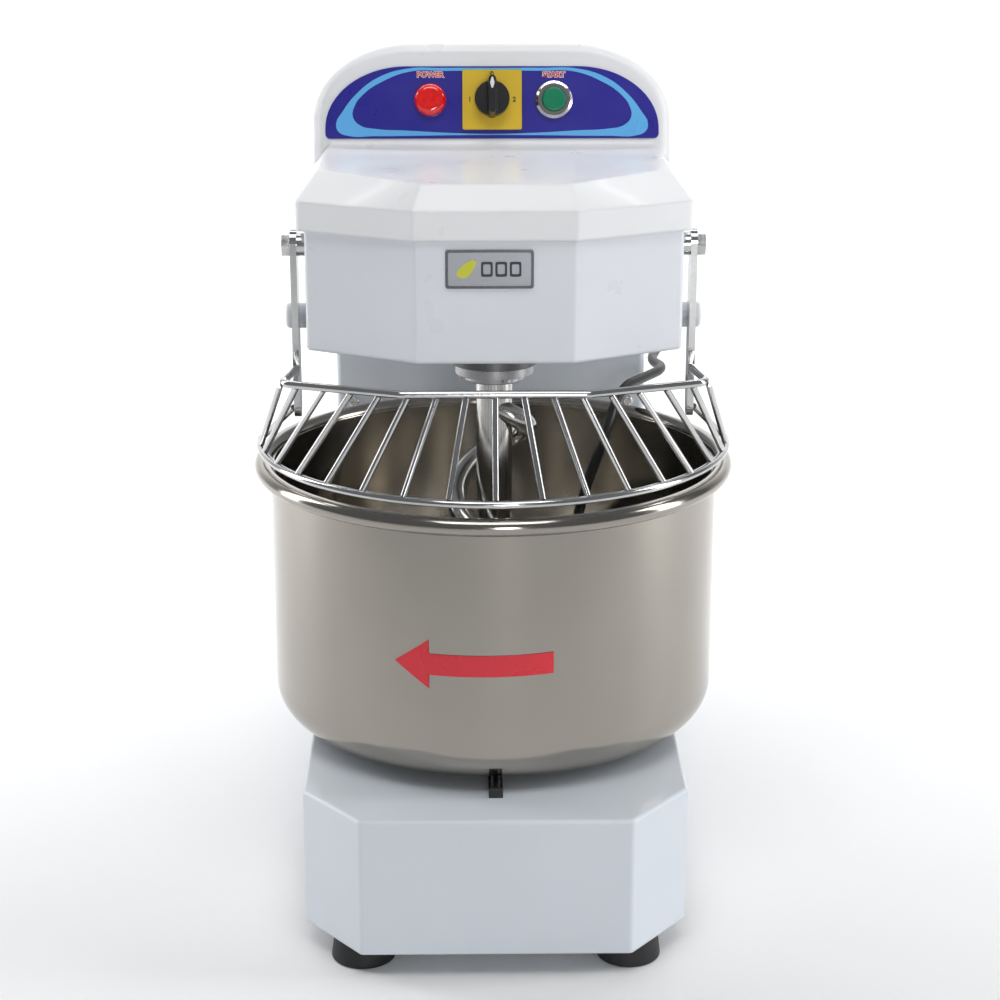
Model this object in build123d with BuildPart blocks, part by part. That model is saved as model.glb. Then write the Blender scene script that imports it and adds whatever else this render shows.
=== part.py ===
"""20-litre spiral dough mixer: turning bowl, spiral hook, wire bowl guard and a sheet-metal body.

Millimetres, +Z up, -Y is the front and +X the operator's right. The origin is the middle of the
machine's footprint, on the bench that its four rubber feet stand on.
"""
import os
from math import atan2, ceil, cos, degrees, pi, radians, sin, sqrt, tan

from build123d import *

os.makedirs("parts", exist_ok=True)

# ---- overall sizes -------------------------------------------------------------------------
base_depth = 644.0
base_width = 301.0
base_front_width = 208.0
base_corner_back = 58.0      # depth of the base's slanted front corners
base_top = 132.0
foot_height = 20.0
head_bottom = 468.0          # underside of the head, top of the column
column_width = 280.0
head_width = 286.0
cover_width = 298.0
bowl_setback = 223.0         # base's front edge to the bowl's axis
column_setback = 431.0       # base's front edge to the column's front wall
hook_offset = 92.0           # bowl's axis to the hook's axis

front_y = -base_depth / 2
back_y = base_depth / 2
bowl_y = front_y + bowl_setback
hook_y = bowl_y - hook_offset
column_y = front_y + column_setback

# ---- sheet metal and fits ------------------------------------------------------------------
sheet = 2.0
thin_sheet = 1.5
corner_radius = 5.0
base_edge_radius = 3.0
running_fit = 0.05           # radial play of a shaft in its bearing
panel_gap = 0.3              # between separate panels
turning_gap = 0.4            # between a turning piece and a fixed neighbour
bolt_clearance = 0.3

# ---- bowl ----------------------------------------------------------------------------------
bowl_radius = 182.0          # outside of the wall
bowl_wall = 2.0
bowl_floor = 140.3           # underside
bowl_height = 213.0          # underside to the centre of the rolled rim
bowl_corner = 28.0
rim_radius = 7.0
rim_centre = bowl_radius - 1.0 + rim_radius
rim_z = bowl_floor + bowl_height

# ---- head and top cover --------------------------------------------------------------------
head_height = 92.0
head_front_width = 118.0
head_setback = 74.0          # base's front edge to the head's front face
head_corner_back = 47.0      # depth of the head's slanted front corners
cover_bottom = head_bottom + head_height
cover_overhang = 2.0         # how far the cover's front stands out past the head
cover_front_width = 121.2
cover_corner_back = 48.0
cover_band = 22.0
cover_wall = 3.0
cover_lip = 10.0             # inward lip that rests on the head's top edge
terrace_rise = 18.0          # height of the sloping edge between the band and the terrace
terrace_slope = 1.0          # rise from the terrace's front edge to the console's foot
terrace_width = 268.0
terrace_front_width = 110.0
terrace_corner_back = 71.0
terrace_setback = 87.0       # base's front edge to the terrace's front edge
console_setback = 271.7      # base's front edge to the foot of the control console
console_height = 84.2        # foot of the console to its flat top, along its face
console_width = 290.0
console_flat = 128.0
console_shoulder = 61.0      # height of each elliptical shoulder
console_tilt = 15.0
console_fall = 8.0           # slope of the cover's top towards the back
console_edge_radius = 9.0
console_foot_radius = 8.0
cover_back_radius = 8.0
cover_y = front_y + head_setback - cover_overhang
terrace_y = front_y + terrace_setback
console_y = front_y + console_setback
terrace_z = cover_bottom + cover_band + terrace_rise
console_z = terrace_z + terrace_slope

# ---- controls, placed across and up the console's face from the middle of its foot -----------
panel_thickness = 1.0
panel_low = 7.3              # height of the sticker's lower edge above the foot
panel_margin = 10.0
panel_top_margin = 18.8
control_height = 38.2
lamp_x = -50.0
switch_x = 0.0
start_x = 50.0
lamp_radius = 13.0
lamp_body_radius = 11.0
switch_plate_size = 48.0
switch_plate_thickness = 3.0
knob_radius = 14.0
knob_height = 9.0
grip_length = 33.0
grip_width = 9.0
grip_height = 14.0
button_radius = 9.5
button_bezel_radius = 15.0
button_bezel_height = 5.0
button_travel = 4.0
control_depth = 45.0         # how far the control bodies reach behind the face
spindle_radius = 3.0
spindle_depth = 20.0
panel_shoulder = 50.0
lamp_height = 8.0
grip_offset = 1.5
grip_taper = 4.0
button_barrel = 14.0
nameplate_width = 65.0
nameplate_height = 29.0
nameplate_x = -4.0
nameplate_z = head_bottom + 71.7

# ---- hook ----------------------------------------------------------------------------------
hook_shaft_radius = 14.0
hook_rod_radius = 8.0
hook_flange_radius = 30.0
hook_flange_height = 7.0
hook_step_radius = 23.0
hook_step_height = 5.5
hook_tip_z = 250.0           # lower end of the straight shaft
hook_start_z = 405.0         # where the rod has left the shaft
hook_start_radius = 25.0
hook_quarters = 6.25         # quarter turns of the spiral
breaker_radius = 10.0
breaker_bottom = 160.0

# ---- wire guard ----------------------------------------------------------------------------
guard_rod = 3.0              # radius of the ring and the top rod
guard_bar = 2.5
guard_bars_count = 15
guard_ring_radius = rim_centre + 2.0
guard_ring_z = rim_z + rim_radius + 11.2
guard_top_z = guard_ring_z + 75.0
guard_top_reach = 155.0      # bowl's axis to the middle of the top rod
guard_pivot_forward = 60.0   # bowl's axis to the guard's pivot
guard_pivot_z = head_bottom + 74.0
arm_thickness = 5.0
arm_width = 20.0
arm_gap = 2.5                # cover's side to the arm
pivot_radius = 5.0
pivot_y = bowl_y - guard_pivot_forward
arm_x = cover_width / 2 + arm_gap + arm_thickness / 2

# ---- drive ---------------------------------------------------------------------------------
drive_y = column_y + 92.0
drive_shaft_radius = 11.0
chain_pitch = 9.525
bowl_teeth = 88
drive_teeth = 10
chain_z = 78.0
sprocket_thickness = 5.0
roller_seat = 3.3
motor_pulley_radius = 55.0
hook_pulley_radius = 48.0
belt_width = 10.0
belt_thickness = 6.0
belt_z = head_bottom + 40.0
belt_spacing = 13.0
bowl_shaft_radius = 15.0
hook_spindle_radius = 12.5


bowl_bearing_radius = 27.5
bowl_bearing_height = 13.0
bowl_housing_height = 45.0
bowl_housing_flange = 50.0
housing_bolt_radius = 3.0
housing_bolt_circle = 41.0
bowl_flange_radius = 55.0
bowl_flange_height = 5.5
bowl_nut_height = 8.0
bowl_hub_radius = 24.0
bowl_hub_height = 9.5
chain_plate = 1.2
chain_width = 8.6
chain_gap = 0.35
chain_pin = 3.1
drive_neck_radius = 8.0      # thinner lower end of the drive shaft, inside the small sprocket
motor_radius = 62.0
motor_bottom = 252.0
motor_height = 178.0
gearbox_height = 72.0
gearbox_size = 130.0
mount_thickness = 6.0
strap_thickness = 4.0
strap_height = 20.0
hook_bearing_radius = 26.0
hook_bearing_height = 15.0
hook_housing_drop = 11.5     # how far the hook's bearing housing stands out below the head
hook_housing_rise = 24.0
hook_housing_flange = 50.0
hook_flange_bore = 0.5       # gap between the fixed housing and the turning flange
breaker_flange_radius = 30.0
pulley_margin = 2.5
bush_length = 5.0
pivot_inside = 24.0          # how far the pivot bolts reach into the head
cam_radius = 12.0
stop_length = 20.0
guard_flat = 140.0           # straight middle of the guard's top rod
guard_bar_pitch = 21.3       # between bars along the top rod
guard_bar_angle = 10.7       # between bars round the ring

# ---- feet, bearings, screws and small fittings ---------------------------------------------
foot_radius = 25.5
foot_recess = 8.0
foot_recess_radius = 12.0
foot_bolt_radius = 5.0
foot_inset = 46.5            # foot's axis in from the base's side
foot_front = 38.0            # foot's axis behind the base's front edge
foot_rear = 41.0             # foot's axis in from the back edge
foot_x = base_width / 2 - foot_inset
foot_places = [
    (x, y) for x in (-foot_x, foot_x) for y in (front_y + foot_front, back_y - foot_rear)
]
vent_circle = 70.0
vent_count = 6
vent_length = 30.0
vent_width = 6.0
bowl_housing_radius = 32.0
hook_housing_radius = 33.0
drive_opening_radius = 40.0
head_edge_radius = 3.0
bush_radius = 7.0
stop_radius = 10.0
stop_screw_radius = 4.0
stop_y = pivot_y + arm_width / 2 + panel_gap + stop_radius
stop_z = head_bottom + 14.0
louvre_length = 80.0
louvre_width = 5.0
louvre_pitch = 14.0
louvre_rows = 9
gland_x = 85.0
gland_z = 410.0
gland_thread_radius = 8.0
column_opening = 120.0
rear_recess = 4.0
rear_flange = 16.0
rear_screw_radius = 2.0
rear_margin = 1.0
rear_z = (base_top + head_bottom) / 2
rear_height = head_bottom - base_top - 2 * rear_margin
rear_screw_places = [
    (x, z)
    for x in (-(column_width / 2 - sheet - rear_flange / 2), column_width / 2 - sheet - rear_flange / 2)
    for z in (rear_z - rear_height / 2 + 14, rear_z, rear_z + rear_height / 2 - 14)
]
strap_screw_radius = 2.5
strap_z = head_bottom - 120.0
strap_screw_places = [(-125.0, strap_z), (-104.0, strap_z), (125.0, strap_z)]


def save(piece, name):
    """Label a finished piece and write it to its own file."""
    piece.part.label = name
    export_step(piece.part, f"parts/{name}.step")


def plan_points(width, nose, front, corner_back, rear):
    """Six corners of a plan shape: flat front, two slanted front corners, straight sides and back."""
    half, nose_half, side_y = width / 2, nose / 2, front + corner_back
    return [
        (-nose_half, front), (nose_half, front), (half, side_y),
        (half, rear), (-half, rear), (-half, side_y),
    ]


def plan_sketch(plane, points, inset=0.0):
    """The plan shape on a plane, drawn in all round by the inset."""
    with BuildSketch(plane) as plan:
        Polygon(*points, align=None)
        if inset:
            offset(amount=-inset, kind=Kind.INTERSECTION)
    return plan.sketch


def bolt(z_head, radius, head_radius, head_height, length, sides=6):
    """Upright hexagon bolt, head below and shank above, ready to be placed by Locations."""
    with BuildPart() as piece:
        with BuildSketch(Plane.XY.offset(z_head)):
            RegularPolygon(head_radius, sides)
        extrude(amount=head_height)
        with BuildSketch(Plane.XY.offset(z_head)):
            Circle(radius)
        extrude(amount=head_height + length)
    return piece.part


def pan_screw(radius, head_radius, head_height, length):
    """Pan-head screw: its head on +Z, the underside of the head at the origin."""
    with BuildPart() as piece:
        Cylinder(head_radius, head_height, align=(Align.CENTER, Align.CENTER, Align.MIN))
        fillet(piece.edges().group_by(Axis.Z)[-1], head_height * 0.6)
        Cylinder(radius, length, align=(Align.CENTER, Align.CENTER, Align.MAX))
        with BuildSketch(Plane.XY.offset(head_height)):
            Rectangle(head_radius * 1.1, head_radius * 0.25)
            Rectangle(head_radius * 0.25, head_radius * 1.1)
        extrude(amount=-head_height * 0.5, mode=Mode.SUBTRACT)
    return piece.part


def ring_part(outer, bore, z_low, height, y):
    """Upright ring about the vertical axis through (0, y), or a solid disc with a bore of 0."""
    with BuildPart() as piece:
        with BuildSketch(Plane((0, y, z_low))):
            Circle(outer)
            if bore:
                Circle(bore, mode=Mode.SUBTRACT)
        extrude(amount=height)
    return piece.part


base_points = plan_points(base_width, base_front_width, front_y, base_corner_back, back_y)
head_points = plan_points(
    head_width, head_front_width, front_y + head_setback, head_corner_back, back_y
)

# ---- base: a folded sheet box, closed below by a plate, on four rubber feet ------------------
with BuildPart() as base_housing:
    add(plan_sketch(Plane.XY.offset(foot_height), base_points))
    extrude(amount=base_top - foot_height)
    fillet(base_housing.edges().filter_by(Axis.Z), corner_radius)
    fillet(base_housing.faces().sort_by(Axis.Z)[-1].edges(), base_edge_radius)
    add(plan_sketch(Plane.XY.offset(foot_height), base_points, sheet))
    extrude(amount=base_top - foot_height - sheet, mode=Mode.SUBTRACT)
    with BuildSketch(Plane.XY.offset(base_top)):
        with Locations((0, bowl_y)):
            Circle(bowl_housing_radius + bolt_clearance)
        with Locations((0, drive_y)):
            RectangleRounded(column_opening, column_opening, corner_radius)
        with Locations((0, bowl_y)):
            with PolarLocations(housing_bolt_circle, 4, start_angle=45):
                Circle(housing_bolt_radius + bolt_clearance)
    extrude(amount=-sheet, mode=Mode.SUBTRACT)
save(base_housing, "base_housing")

plate_inset = sheet + panel_gap
with BuildPart() as base_bottom_plate:
    add(plan_sketch(Plane.XY.offset(foot_height), base_points, plate_inset))
    extrude(amount=sheet)
    fillet(base_bottom_plate.edges().filter_by(Axis.Z), corner_radius)
    with BuildSketch(Plane.XY.offset(foot_height + sheet)):
        with Locations(*foot_places):
            Circle(foot_bolt_radius + bolt_clearance)
        with Locations((0, bowl_y), (0, drive_y)):
            with PolarLocations(vent_circle, vent_count):
                SlotOverall(vent_length, vent_width)
    extrude(amount=-sheet, mode=Mode.SUBTRACT)
save(base_bottom_plate, "base_bottom_plate")

with BuildPart() as feet:
    with Locations(*foot_places):
        Cone(foot_radius, foot_radius - 2.5, foot_height, align=(Align.CENTER, Align.CENTER, Align.MIN))
    fillet(feet.edges().group_by(Axis.Z)[0], 2.0)
    with Locations(*foot_places):
        Cylinder(foot_recess_radius, foot_recess, align=(Align.CENTER, Align.CENTER, Align.MIN),
                 mode=Mode.SUBTRACT)
        Cylinder(foot_bolt_radius + bolt_clearance, foot_height,
                 align=(Align.CENTER, Align.CENTER, Align.MIN), mode=Mode.SUBTRACT)
save(feet, "feet")

foot_bolt_head = 5.0
with BuildPart() as foot_bolts:
    with Locations(*foot_places):
        add(bolt(foot_recess - foot_bolt_head, foot_bolt_radius, foot_bolt_radius * 1.85, foot_bolt_head,
                 foot_height - foot_recess + sheet + 12.0))
    with BuildSketch(Plane.XY.offset(foot_height + sheet)):
        with Locations(*foot_places):
            RegularPolygon(foot_bolt_radius * 1.85, 6)
    extrude(amount=7.0)
save(foot_bolts, "foot_bolts")

# ---- column: a folded channel, open at the back for the rear cover ---------------------------
column_half = column_width / 2
with BuildPart() as column_housing:
    with BuildSketch(Plane.XY.offset(base_top)):
        with Locations((0, (column_y + back_y) / 2)):
            Rectangle(column_width, back_y - column_y)
    extrude(amount=head_bottom - base_top)
    fillet(column_housing.edges().filter_by(Axis.Z).group_by(Axis.Y)[0], corner_radius)
    with BuildSketch(Plane.XY.offset(base_top)):
        with Locations((0, (column_y + sheet + back_y - rear_recess - sheet) / 2)):
            Rectangle(column_width - 2 * sheet, back_y - column_y - 2 * sheet - rear_recess)
        with Locations((0, back_y)):
            Rectangle(column_width - 2 * (sheet + rear_flange), 2 * (rear_recess + sheet))
            Rectangle(column_width - 2 * sheet, 2 * rear_recess)
    extrude(amount=head_bottom - base_top, mode=Mode.SUBTRACT)
    with BuildSketch(Plane.XZ.offset(-column_y)):
        with Locations(*strap_screw_places):
            Circle(strap_screw_radius + bolt_clearance)
    extrude(amount=-sheet, mode=Mode.SUBTRACT)
    with BuildSketch(Plane.XZ.offset(-back_y)):
        with Locations(*rear_screw_places):
            Circle(rear_screw_radius + bolt_clearance)
    extrude(amount=rear_recess + sheet, mode=Mode.SUBTRACT)
save(column_housing, "column_housing")

# ---- rear cover: louvred plate in the column's recess, on six screws -------------------------
rear_face = Plane(origin=(0, back_y - rear_recess, 0), x_dir=(1, 0, 0), z_dir=(0, -1, 0))
with BuildPart() as rear_cover:
    with BuildSketch(rear_face):
        with Locations((0, rear_z)):
            RectangleRounded(column_width - 2 * (sheet + panel_gap), rear_height, 3.0)
        with Locations(*rear_screw_places):
            Circle(rear_screw_radius + bolt_clearance, mode=Mode.SUBTRACT)
        with Locations((0, rear_z - 40.0)):
            with GridLocations(louvre_length + 20.0, louvre_pitch, 2, louvre_rows):
                SlotOverall(louvre_length, louvre_width, mode=Mode.SUBTRACT)
        with Locations((gland_x, gland_z)):
            Circle(gland_thread_radius + bolt_clearance, mode=Mode.SUBTRACT)
    extrude(amount=-thin_sheet)
save(rear_cover, "rear_cover")

front_screw_face = Plane(origin=(0, column_y, 0), x_dir=(1, 0, 0), z_dir=(0, -1, 0))
rear_screw_face = Plane(origin=(0, back_y - rear_recess + thin_sheet, 0), x_dir=(-1, 0, 0), z_dir=(0, 1, 0))
with BuildPart() as panel_screws:
    with Locations(*[front_screw_face * Pos(x, z) for x, z in strap_screw_places]):
        add(pan_screw(strap_screw_radius, 5.0, 2.6, sheet + strap_thickness + 8.0))
    with Locations(*[rear_screw_face * Pos(-x, z) for x, z in rear_screw_places]):
        add(pan_screw(rear_screw_radius, 4.0, 2.0, 8.0))
save(panel_screws, "panel_screws")

# ---- head: sheet box that carries the hook, the breaker bar and the guard --------------------
head_floor = Plane.XY.offset(head_bottom + sheet)
with BuildPart() as head_housing:
    add(plan_sketch(Plane.XY.offset(head_bottom), head_points))
    extrude(amount=head_height)
    fillet(head_housing.edges().filter_by(Axis.Z), corner_radius)
    fillet(head_housing.faces().sort_by(Axis.Z)[0].edges(), head_edge_radius)
    add(plan_sketch(Plane.XY.offset(head_bottom + sheet), head_points, sheet))
    extrude(amount=head_height, mode=Mode.SUBTRACT)
    with BuildSketch(head_floor):
        with Locations((0, hook_y)):
            Circle(hook_housing_radius + bolt_clearance)
        with Locations((0, bowl_y)):
            Circle(breaker_radius + bolt_clearance)
        with Locations((0, drive_y)):
            Circle(drive_opening_radius)
    extrude(amount=-sheet, mode=Mode.SUBTRACT)
    with BuildSketch(Plane.YZ.offset(-head_width / 2)):
        with Locations((pivot_y, guard_pivot_z)):
            Circle(bush_radius)
        with Locations((stop_y, stop_z)):
            Circle(stop_screw_radius)
    extrude(amount=head_width, mode=Mode.SUBTRACT)
save(head_housing, "head_housing")

# ---- top cover: glossy shell with a level terrace and a leaning control console --------------
tilt, fall = radians(console_tilt), radians(console_fall)
console_normal = Vector(0, -cos(tilt), sin(tilt))


def console_face(raised=0.0):
    """Plane of the console's face: x to the right, y up the face from its foot, z out of it."""
    origin = Vector(0, console_y, console_z) + console_normal * raised
    return Plane(origin=origin, x_dir=(1, 0, 0), z_dir=console_normal)


def arch_sketch(plane, width, low, top, flat, shoulder):
    """Upright sides, two elliptical shoulders and a flat top."""
    half, flat_half, spring = width / 2, flat / 2, top - shoulder
    with BuildSketch(plane) as arch:
        with BuildLine():
            Polyline((-half, spring), (-half, low), (half, low), (half, spring))
            EllipticalCenterArc((flat_half, spring), half - flat_half, shoulder, start_angle=0, arc_size=90)
            Line((flat_half, top), (-flat_half, top))
            EllipticalCenterArc((-flat_half, spring), half - flat_half, shoulder, start_angle=90, arc_size=90)
        make_face()
    return arch.sketch


def console_form(inset):
    """The console: its arch carried back along the falling top and cut off square at the back."""
    arch = arch_sketch(console_face(-inset), console_width - 2 * inset, -base_top,
                       console_height - inset, console_flat, console_shoulder - inset)
    with BuildPart() as form:
        add(arch)
        extrude(amount=2 * base_depth, dir=(0, cos(fall), -sin(fall)))
        split(bisect_by=Plane.XZ.offset(-(back_y - inset)), keep=Keep.TOP)
        split(bisect_by=Plane.XY.offset(cover_bottom + cover_band / 2), keep=Keep.TOP)
    return form.part


def cover_form(inset=0.0):
    """Outside of the top cover, or the space inside it when drawn in by the wall."""
    rear = console_y + 4.0
    band = plan_points(cover_width, cover_front_width, cover_y, cover_corner_back, back_y)
    slope_foot = plan_points(cover_width, cover_front_width, cover_y, cover_corner_back, rear)
    slope_top = plan_points(
        terrace_width, terrace_front_width, 0.0, terrace_corner_back, rear - terrace_y
    )
    lean = atan2(terrace_slope, console_y - terrace_y)
    terrace = Plane(
        origin=(0, terrace_y, terrace_z - inset), x_dir=(1, 0, 0), z_dir=(0, -sin(lean), cos(lean))
    )
    with BuildPart() as form:
        add(plan_sketch(Plane.XY.offset(cover_bottom + inset), band, inset))
        extrude(amount=cover_band - 2 * inset)
        add(plan_sketch(Plane.XY.offset(cover_bottom + cover_band - inset), slope_foot, inset))
        add(plan_sketch(terrace, slope_top, inset))
        loft(ruled=True)
        add(console_form(inset))
    return form.part


def lies_on_face(edge):
    """True for an edge of the console's face, its foot left out."""
    points = [console_face().to_local_coords(edge @ t) for t in (0.0, 0.5, 1.0)]
    return all(abs(p.Z) < 0.01 for p in points) and max(p.Y for p in points) > 1.0


def is_front_corner(edge):
    """True for the upright and sloping edges of the cover's front corners."""
    return edge.center().Y < terrace_y + terrace_corner_back and abs(edge.tangent_at(0.5).Z) > 0.3


def face_disc(x, low, high, radius):
    """Disc on the console's face, centred x across, from one height above the face to another."""
    with BuildPart() as piece:
        with BuildSketch(console_face(low)):
            with Locations((x, control_height)):
                Circle(radius)
        extrude(amount=high - low)
    return piece.part


def control_holes(low, high):
    """Through holes for the lamp, the switch's spindle and the start button."""
    with BuildPart() as holes:
        add(face_disc(lamp_x, low, high, lamp_body_radius))
        add(face_disc(switch_x, low, high, spindle_radius + bolt_clearance))
        add(face_disc(start_x, low, high, lamp_body_radius))
    return holes.part


with BuildPart() as top_cover:
    add(cover_form())
    fillet(top_cover.edges().filter_by(lies_on_face), console_edge_radius)
    foot_edge = top_cover.edges().sort_by_distance((0, console_y, console_z))[0]
    fillet(foot_edge, console_foot_radius)
    fillet(top_cover.edges().filter_by(is_front_corner), corner_radius)
    fillet(top_cover.edges().filter_by(
        lambda edge: edge.center().Y > back_y - 0.1 and edge.center().Z > terrace_z), cover_back_radius)
    add(cover_form(cover_wall), mode=Mode.SUBTRACT)
    add(plan_sketch(Plane.XY.offset(cover_bottom), head_points, cover_lip))
    extrude(amount=cover_wall, mode=Mode.SUBTRACT)
    add(control_holes(-2 * cover_wall, cover_wall), mode=Mode.SUBTRACT)
save(top_cover, "top_cover")

with BuildPart() as control_panel:
    add(arch_sketch(console_face(), console_width - 2 * panel_margin, panel_low,
                    console_height - panel_top_margin, console_flat + panel_margin, panel_shoulder))
    extrude(amount=panel_thickness, dir=console_normal)
    upright = control_panel.edges().filter_by(Axis(origin=(0, 0, 0), direction=console_normal))
    fillet(upright.group_by(Axis.Z)[0], 4.0)
    add(control_holes(-cover_wall, cover_wall), mode=Mode.SUBTRACT)
save(control_panel, "control_panel")


with BuildPart() as lamp_lens:
    add(face_disc(lamp_x, panel_thickness, panel_thickness + lamp_height, lamp_radius))
    lens_rim = lamp_lens.faces().sort_by(Axis(origin=(0, 0, 0), direction=console_normal))[-1].edges()
    fillet(lens_rim, lamp_height * 0.7)
save(lamp_lens, "lamp_lens")

with BuildPart() as lamp_body:
    add(face_disc(lamp_x, -control_depth, panel_thickness, lamp_body_radius))
    add(face_disc(lamp_x, -cover_wall - 5.0, -cover_wall, lamp_radius + 2.0))
save(lamp_body, "lamp_body")

with BuildPart() as switch_plate:
    with BuildSketch(console_face(panel_thickness)):
        with Locations((switch_x, control_height)):
            RectangleRounded(switch_plate_size, switch_plate_size, 1.5)
            Circle(spindle_radius + bolt_clearance, mode=Mode.SUBTRACT)
    extrude(amount=switch_plate_thickness)
save(switch_plate, "switch_plate")

with BuildPart() as switch_body:
    with BuildSketch(console_face(-cover_wall)):
        with Locations((switch_x, control_height)):
            RectangleRounded(switch_plate_size - 4, switch_plate_size - 4, 3.0)
    extrude(amount=cover_wall - control_depth)
    add(face_disc(switch_x, -cover_wall - spindle_depth, -cover_wall, spindle_radius + running_fit),
        mode=Mode.SUBTRACT)
save(switch_body, "switch_body")

knob_base = panel_thickness + switch_plate_thickness + turning_gap
with BuildPart() as selector_knob:
    add(face_disc(switch_x, knob_base, knob_base + knob_height, knob_radius))
    with BuildSketch(console_face(knob_base)):
        with Locations((switch_x, control_height + grip_offset)):
            SlotOverall(grip_length, grip_width, rotation=90)
    extrude(amount=knob_height + grip_height, taper=grip_taper)
    add(face_disc(switch_x, 1.0 - cover_wall - spindle_depth, knob_base, spindle_radius))
save(selector_knob, "selector_knob")

with BuildPart() as start_bezel:
    add(face_disc(start_x, panel_thickness, panel_thickness + button_bezel_height, button_bezel_radius))
    bezel_face = start_bezel.faces().sort_by(Axis(origin=(0, 0, 0), direction=console_normal))[-1]
    chamfer(bezel_face.edges(), 2.0)
    add(face_disc(start_x, -button_barrel, panel_thickness, lamp_body_radius))
    add(face_disc(start_x, -button_barrel, panel_thickness + button_bezel_height,
                  button_radius + turning_gap), mode=Mode.SUBTRACT)
save(start_bezel, "start_bezel")

button_top = panel_thickness + button_bezel_height + 1.5
with BuildPart() as start_button:
    add(face_disc(start_x, button_top - 12.0, button_top, button_radius))
    cap_edge = start_button.faces().sort_by(Axis(origin=(0, 0, 0), direction=console_normal))[-1].edges()
    fillet(cap_edge, 1.2)
save(start_button, "start_button")

with BuildPart() as start_contact_block:
    with BuildSketch(console_face(-button_barrel)):
        with Locations((start_x, control_height)):
            RectangleRounded(30.0, 40.0, 2.0)
    extrude(amount=button_barrel - control_depth)
save(start_contact_block, "start_contact_block")

with BuildPart() as nameplate:
    with BuildSketch(Plane.XZ.offset(-(front_y + head_setback))):
        with Locations((nameplate_x, nameplate_z)):
            RectangleRounded(nameplate_width, nameplate_height, 2.0)
    extrude(amount=1.0)
save(nameplate, "nameplate")

# ---- bowl and what turns with it -------------------------------------------------------------
bowl_section = Plane(origin=(0, bowl_y, 0), x_dir=(1, 0, 0), z_dir=(0, -1, 0))
bowl_axis = Axis((0, bowl_y, 0), (0, 0, 1))
with BuildPart() as bowl:
    with BuildSketch(bowl_section):
        with BuildLine():
            FilletPolyline((0, bowl_floor), (bowl_radius, bowl_floor), (bowl_radius, rim_z),
                           radius=bowl_corner)
            Line((bowl_radius, rim_z), (bowl_radius - bowl_wall, rim_z))
            FilletPolyline((bowl_radius - bowl_wall, rim_z),
                           (bowl_radius - bowl_wall, bowl_floor + bowl_wall),
                           (0, bowl_floor + bowl_wall), radius=bowl_corner - bowl_wall)
            Line((0, bowl_floor + bowl_wall), (0, bowl_floor))
        make_face()
        with Locations((rim_centre, rim_z)):
            Circle(rim_radius)
    revolve(axis=bowl_axis)
save(bowl, "bowl")

bowl_flange_low = bowl_floor - bowl_flange_height
hub_low = chain_z - sprocket_thickness / 2 - bowl_hub_height
shaft_low = hub_low - bowl_nut_height - 3.0
with BuildPart() as bowl_shaft:
    add(ring_part(bowl_flange_radius, 0, bowl_flange_low, bowl_flange_height, bowl_y))
    add(ring_part(bowl_shaft_radius, 0, shaft_low, bowl_flange_low - shaft_low, bowl_y))
    with BuildSketch(Plane((0, bowl_y, hub_low - bowl_nut_height))):
        RegularPolygon(bowl_shaft_radius * 1.6, 6)
    extrude(amount=bowl_nut_height)
save(bowl_shaft, "bowl_shaft")


def sprocket(teeth, y, hub_radius, hub_low, hub_height, bore):
    """Flat sprocket with round roller seats, and a hub on one side."""
    pitch_circle = chain_pitch / (2 * sin(pi / teeth))
    with BuildPart() as wheel:
        with BuildSketch(Plane((0, y, chain_z - sprocket_thickness / 2))):
            Circle(pitch_circle + 3.0)
            with PolarLocations(pitch_circle, teeth):
                Circle(roller_seat, mode=Mode.SUBTRACT)
        extrude(amount=sprocket_thickness)
        if pitch_circle > 3 * hub_radius:
            with BuildSketch(Plane((0, y, chain_z - sprocket_thickness / 2))):
                with PolarLocations((pitch_circle + hub_radius) / 2, 6):
                    Circle((pitch_circle - hub_radius) / 3.2)
            extrude(amount=sprocket_thickness, mode=Mode.SUBTRACT)
        add(ring_part(hub_radius, 0, hub_low, hub_height, y))
        with BuildSketch(Plane((0, y, 0))):
            Circle(bore)
        extrude(amount=head_bottom, mode=Mode.SUBTRACT)
    return wheel


bowl_sprocket = sprocket(bowl_teeth, bowl_y, bowl_hub_radius, hub_low, bowl_hub_height, bowl_shaft_radius)
save(bowl_sprocket, "bowl_sprocket")

housing_top = base_top + 0.8
housing_low = housing_top - bowl_housing_height
flange_top = base_top - sheet
with BuildPart() as bowl_bearing_housing:
    add(ring_part(bowl_housing_radius, bowl_bearing_radius, housing_low, bowl_housing_height, bowl_y))
    add(ring_part(bowl_housing_flange, bowl_housing_radius, flange_top - 6.0, 6.0, bowl_y))
    with BuildSketch(Plane((0, bowl_y, flange_top))):
        with PolarLocations(housing_bolt_circle, 4, start_angle=45):
            Circle(housing_bolt_radius + bolt_clearance)
    extrude(amount=-6.0, mode=Mode.SUBTRACT)
save(bowl_bearing_housing, "bowl_bearing_housing")

with BuildPart() as bowl_bearings:
    for low in (housing_low + 2.0, housing_top - 2.0 - bowl_bearing_height):
        add(ring_part(bowl_bearing_radius, bowl_shaft_radius + running_fit, low, bowl_bearing_height, bowl_y))
save(bowl_bearings, "bowl_bearings")

with BuildPart() as bowl_housing_bolts:
    with Locations(Location((0, bowl_y, 0))):
        with PolarLocations(housing_bolt_circle, 4, start_angle=45):
            add(bolt(flange_top - 6.0 - 4.0, 3.0, 5.5, 4.0, 6.0 + sheet - 0.2))
save(bowl_housing_bolts, "bowl_housing_bolts")

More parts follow.
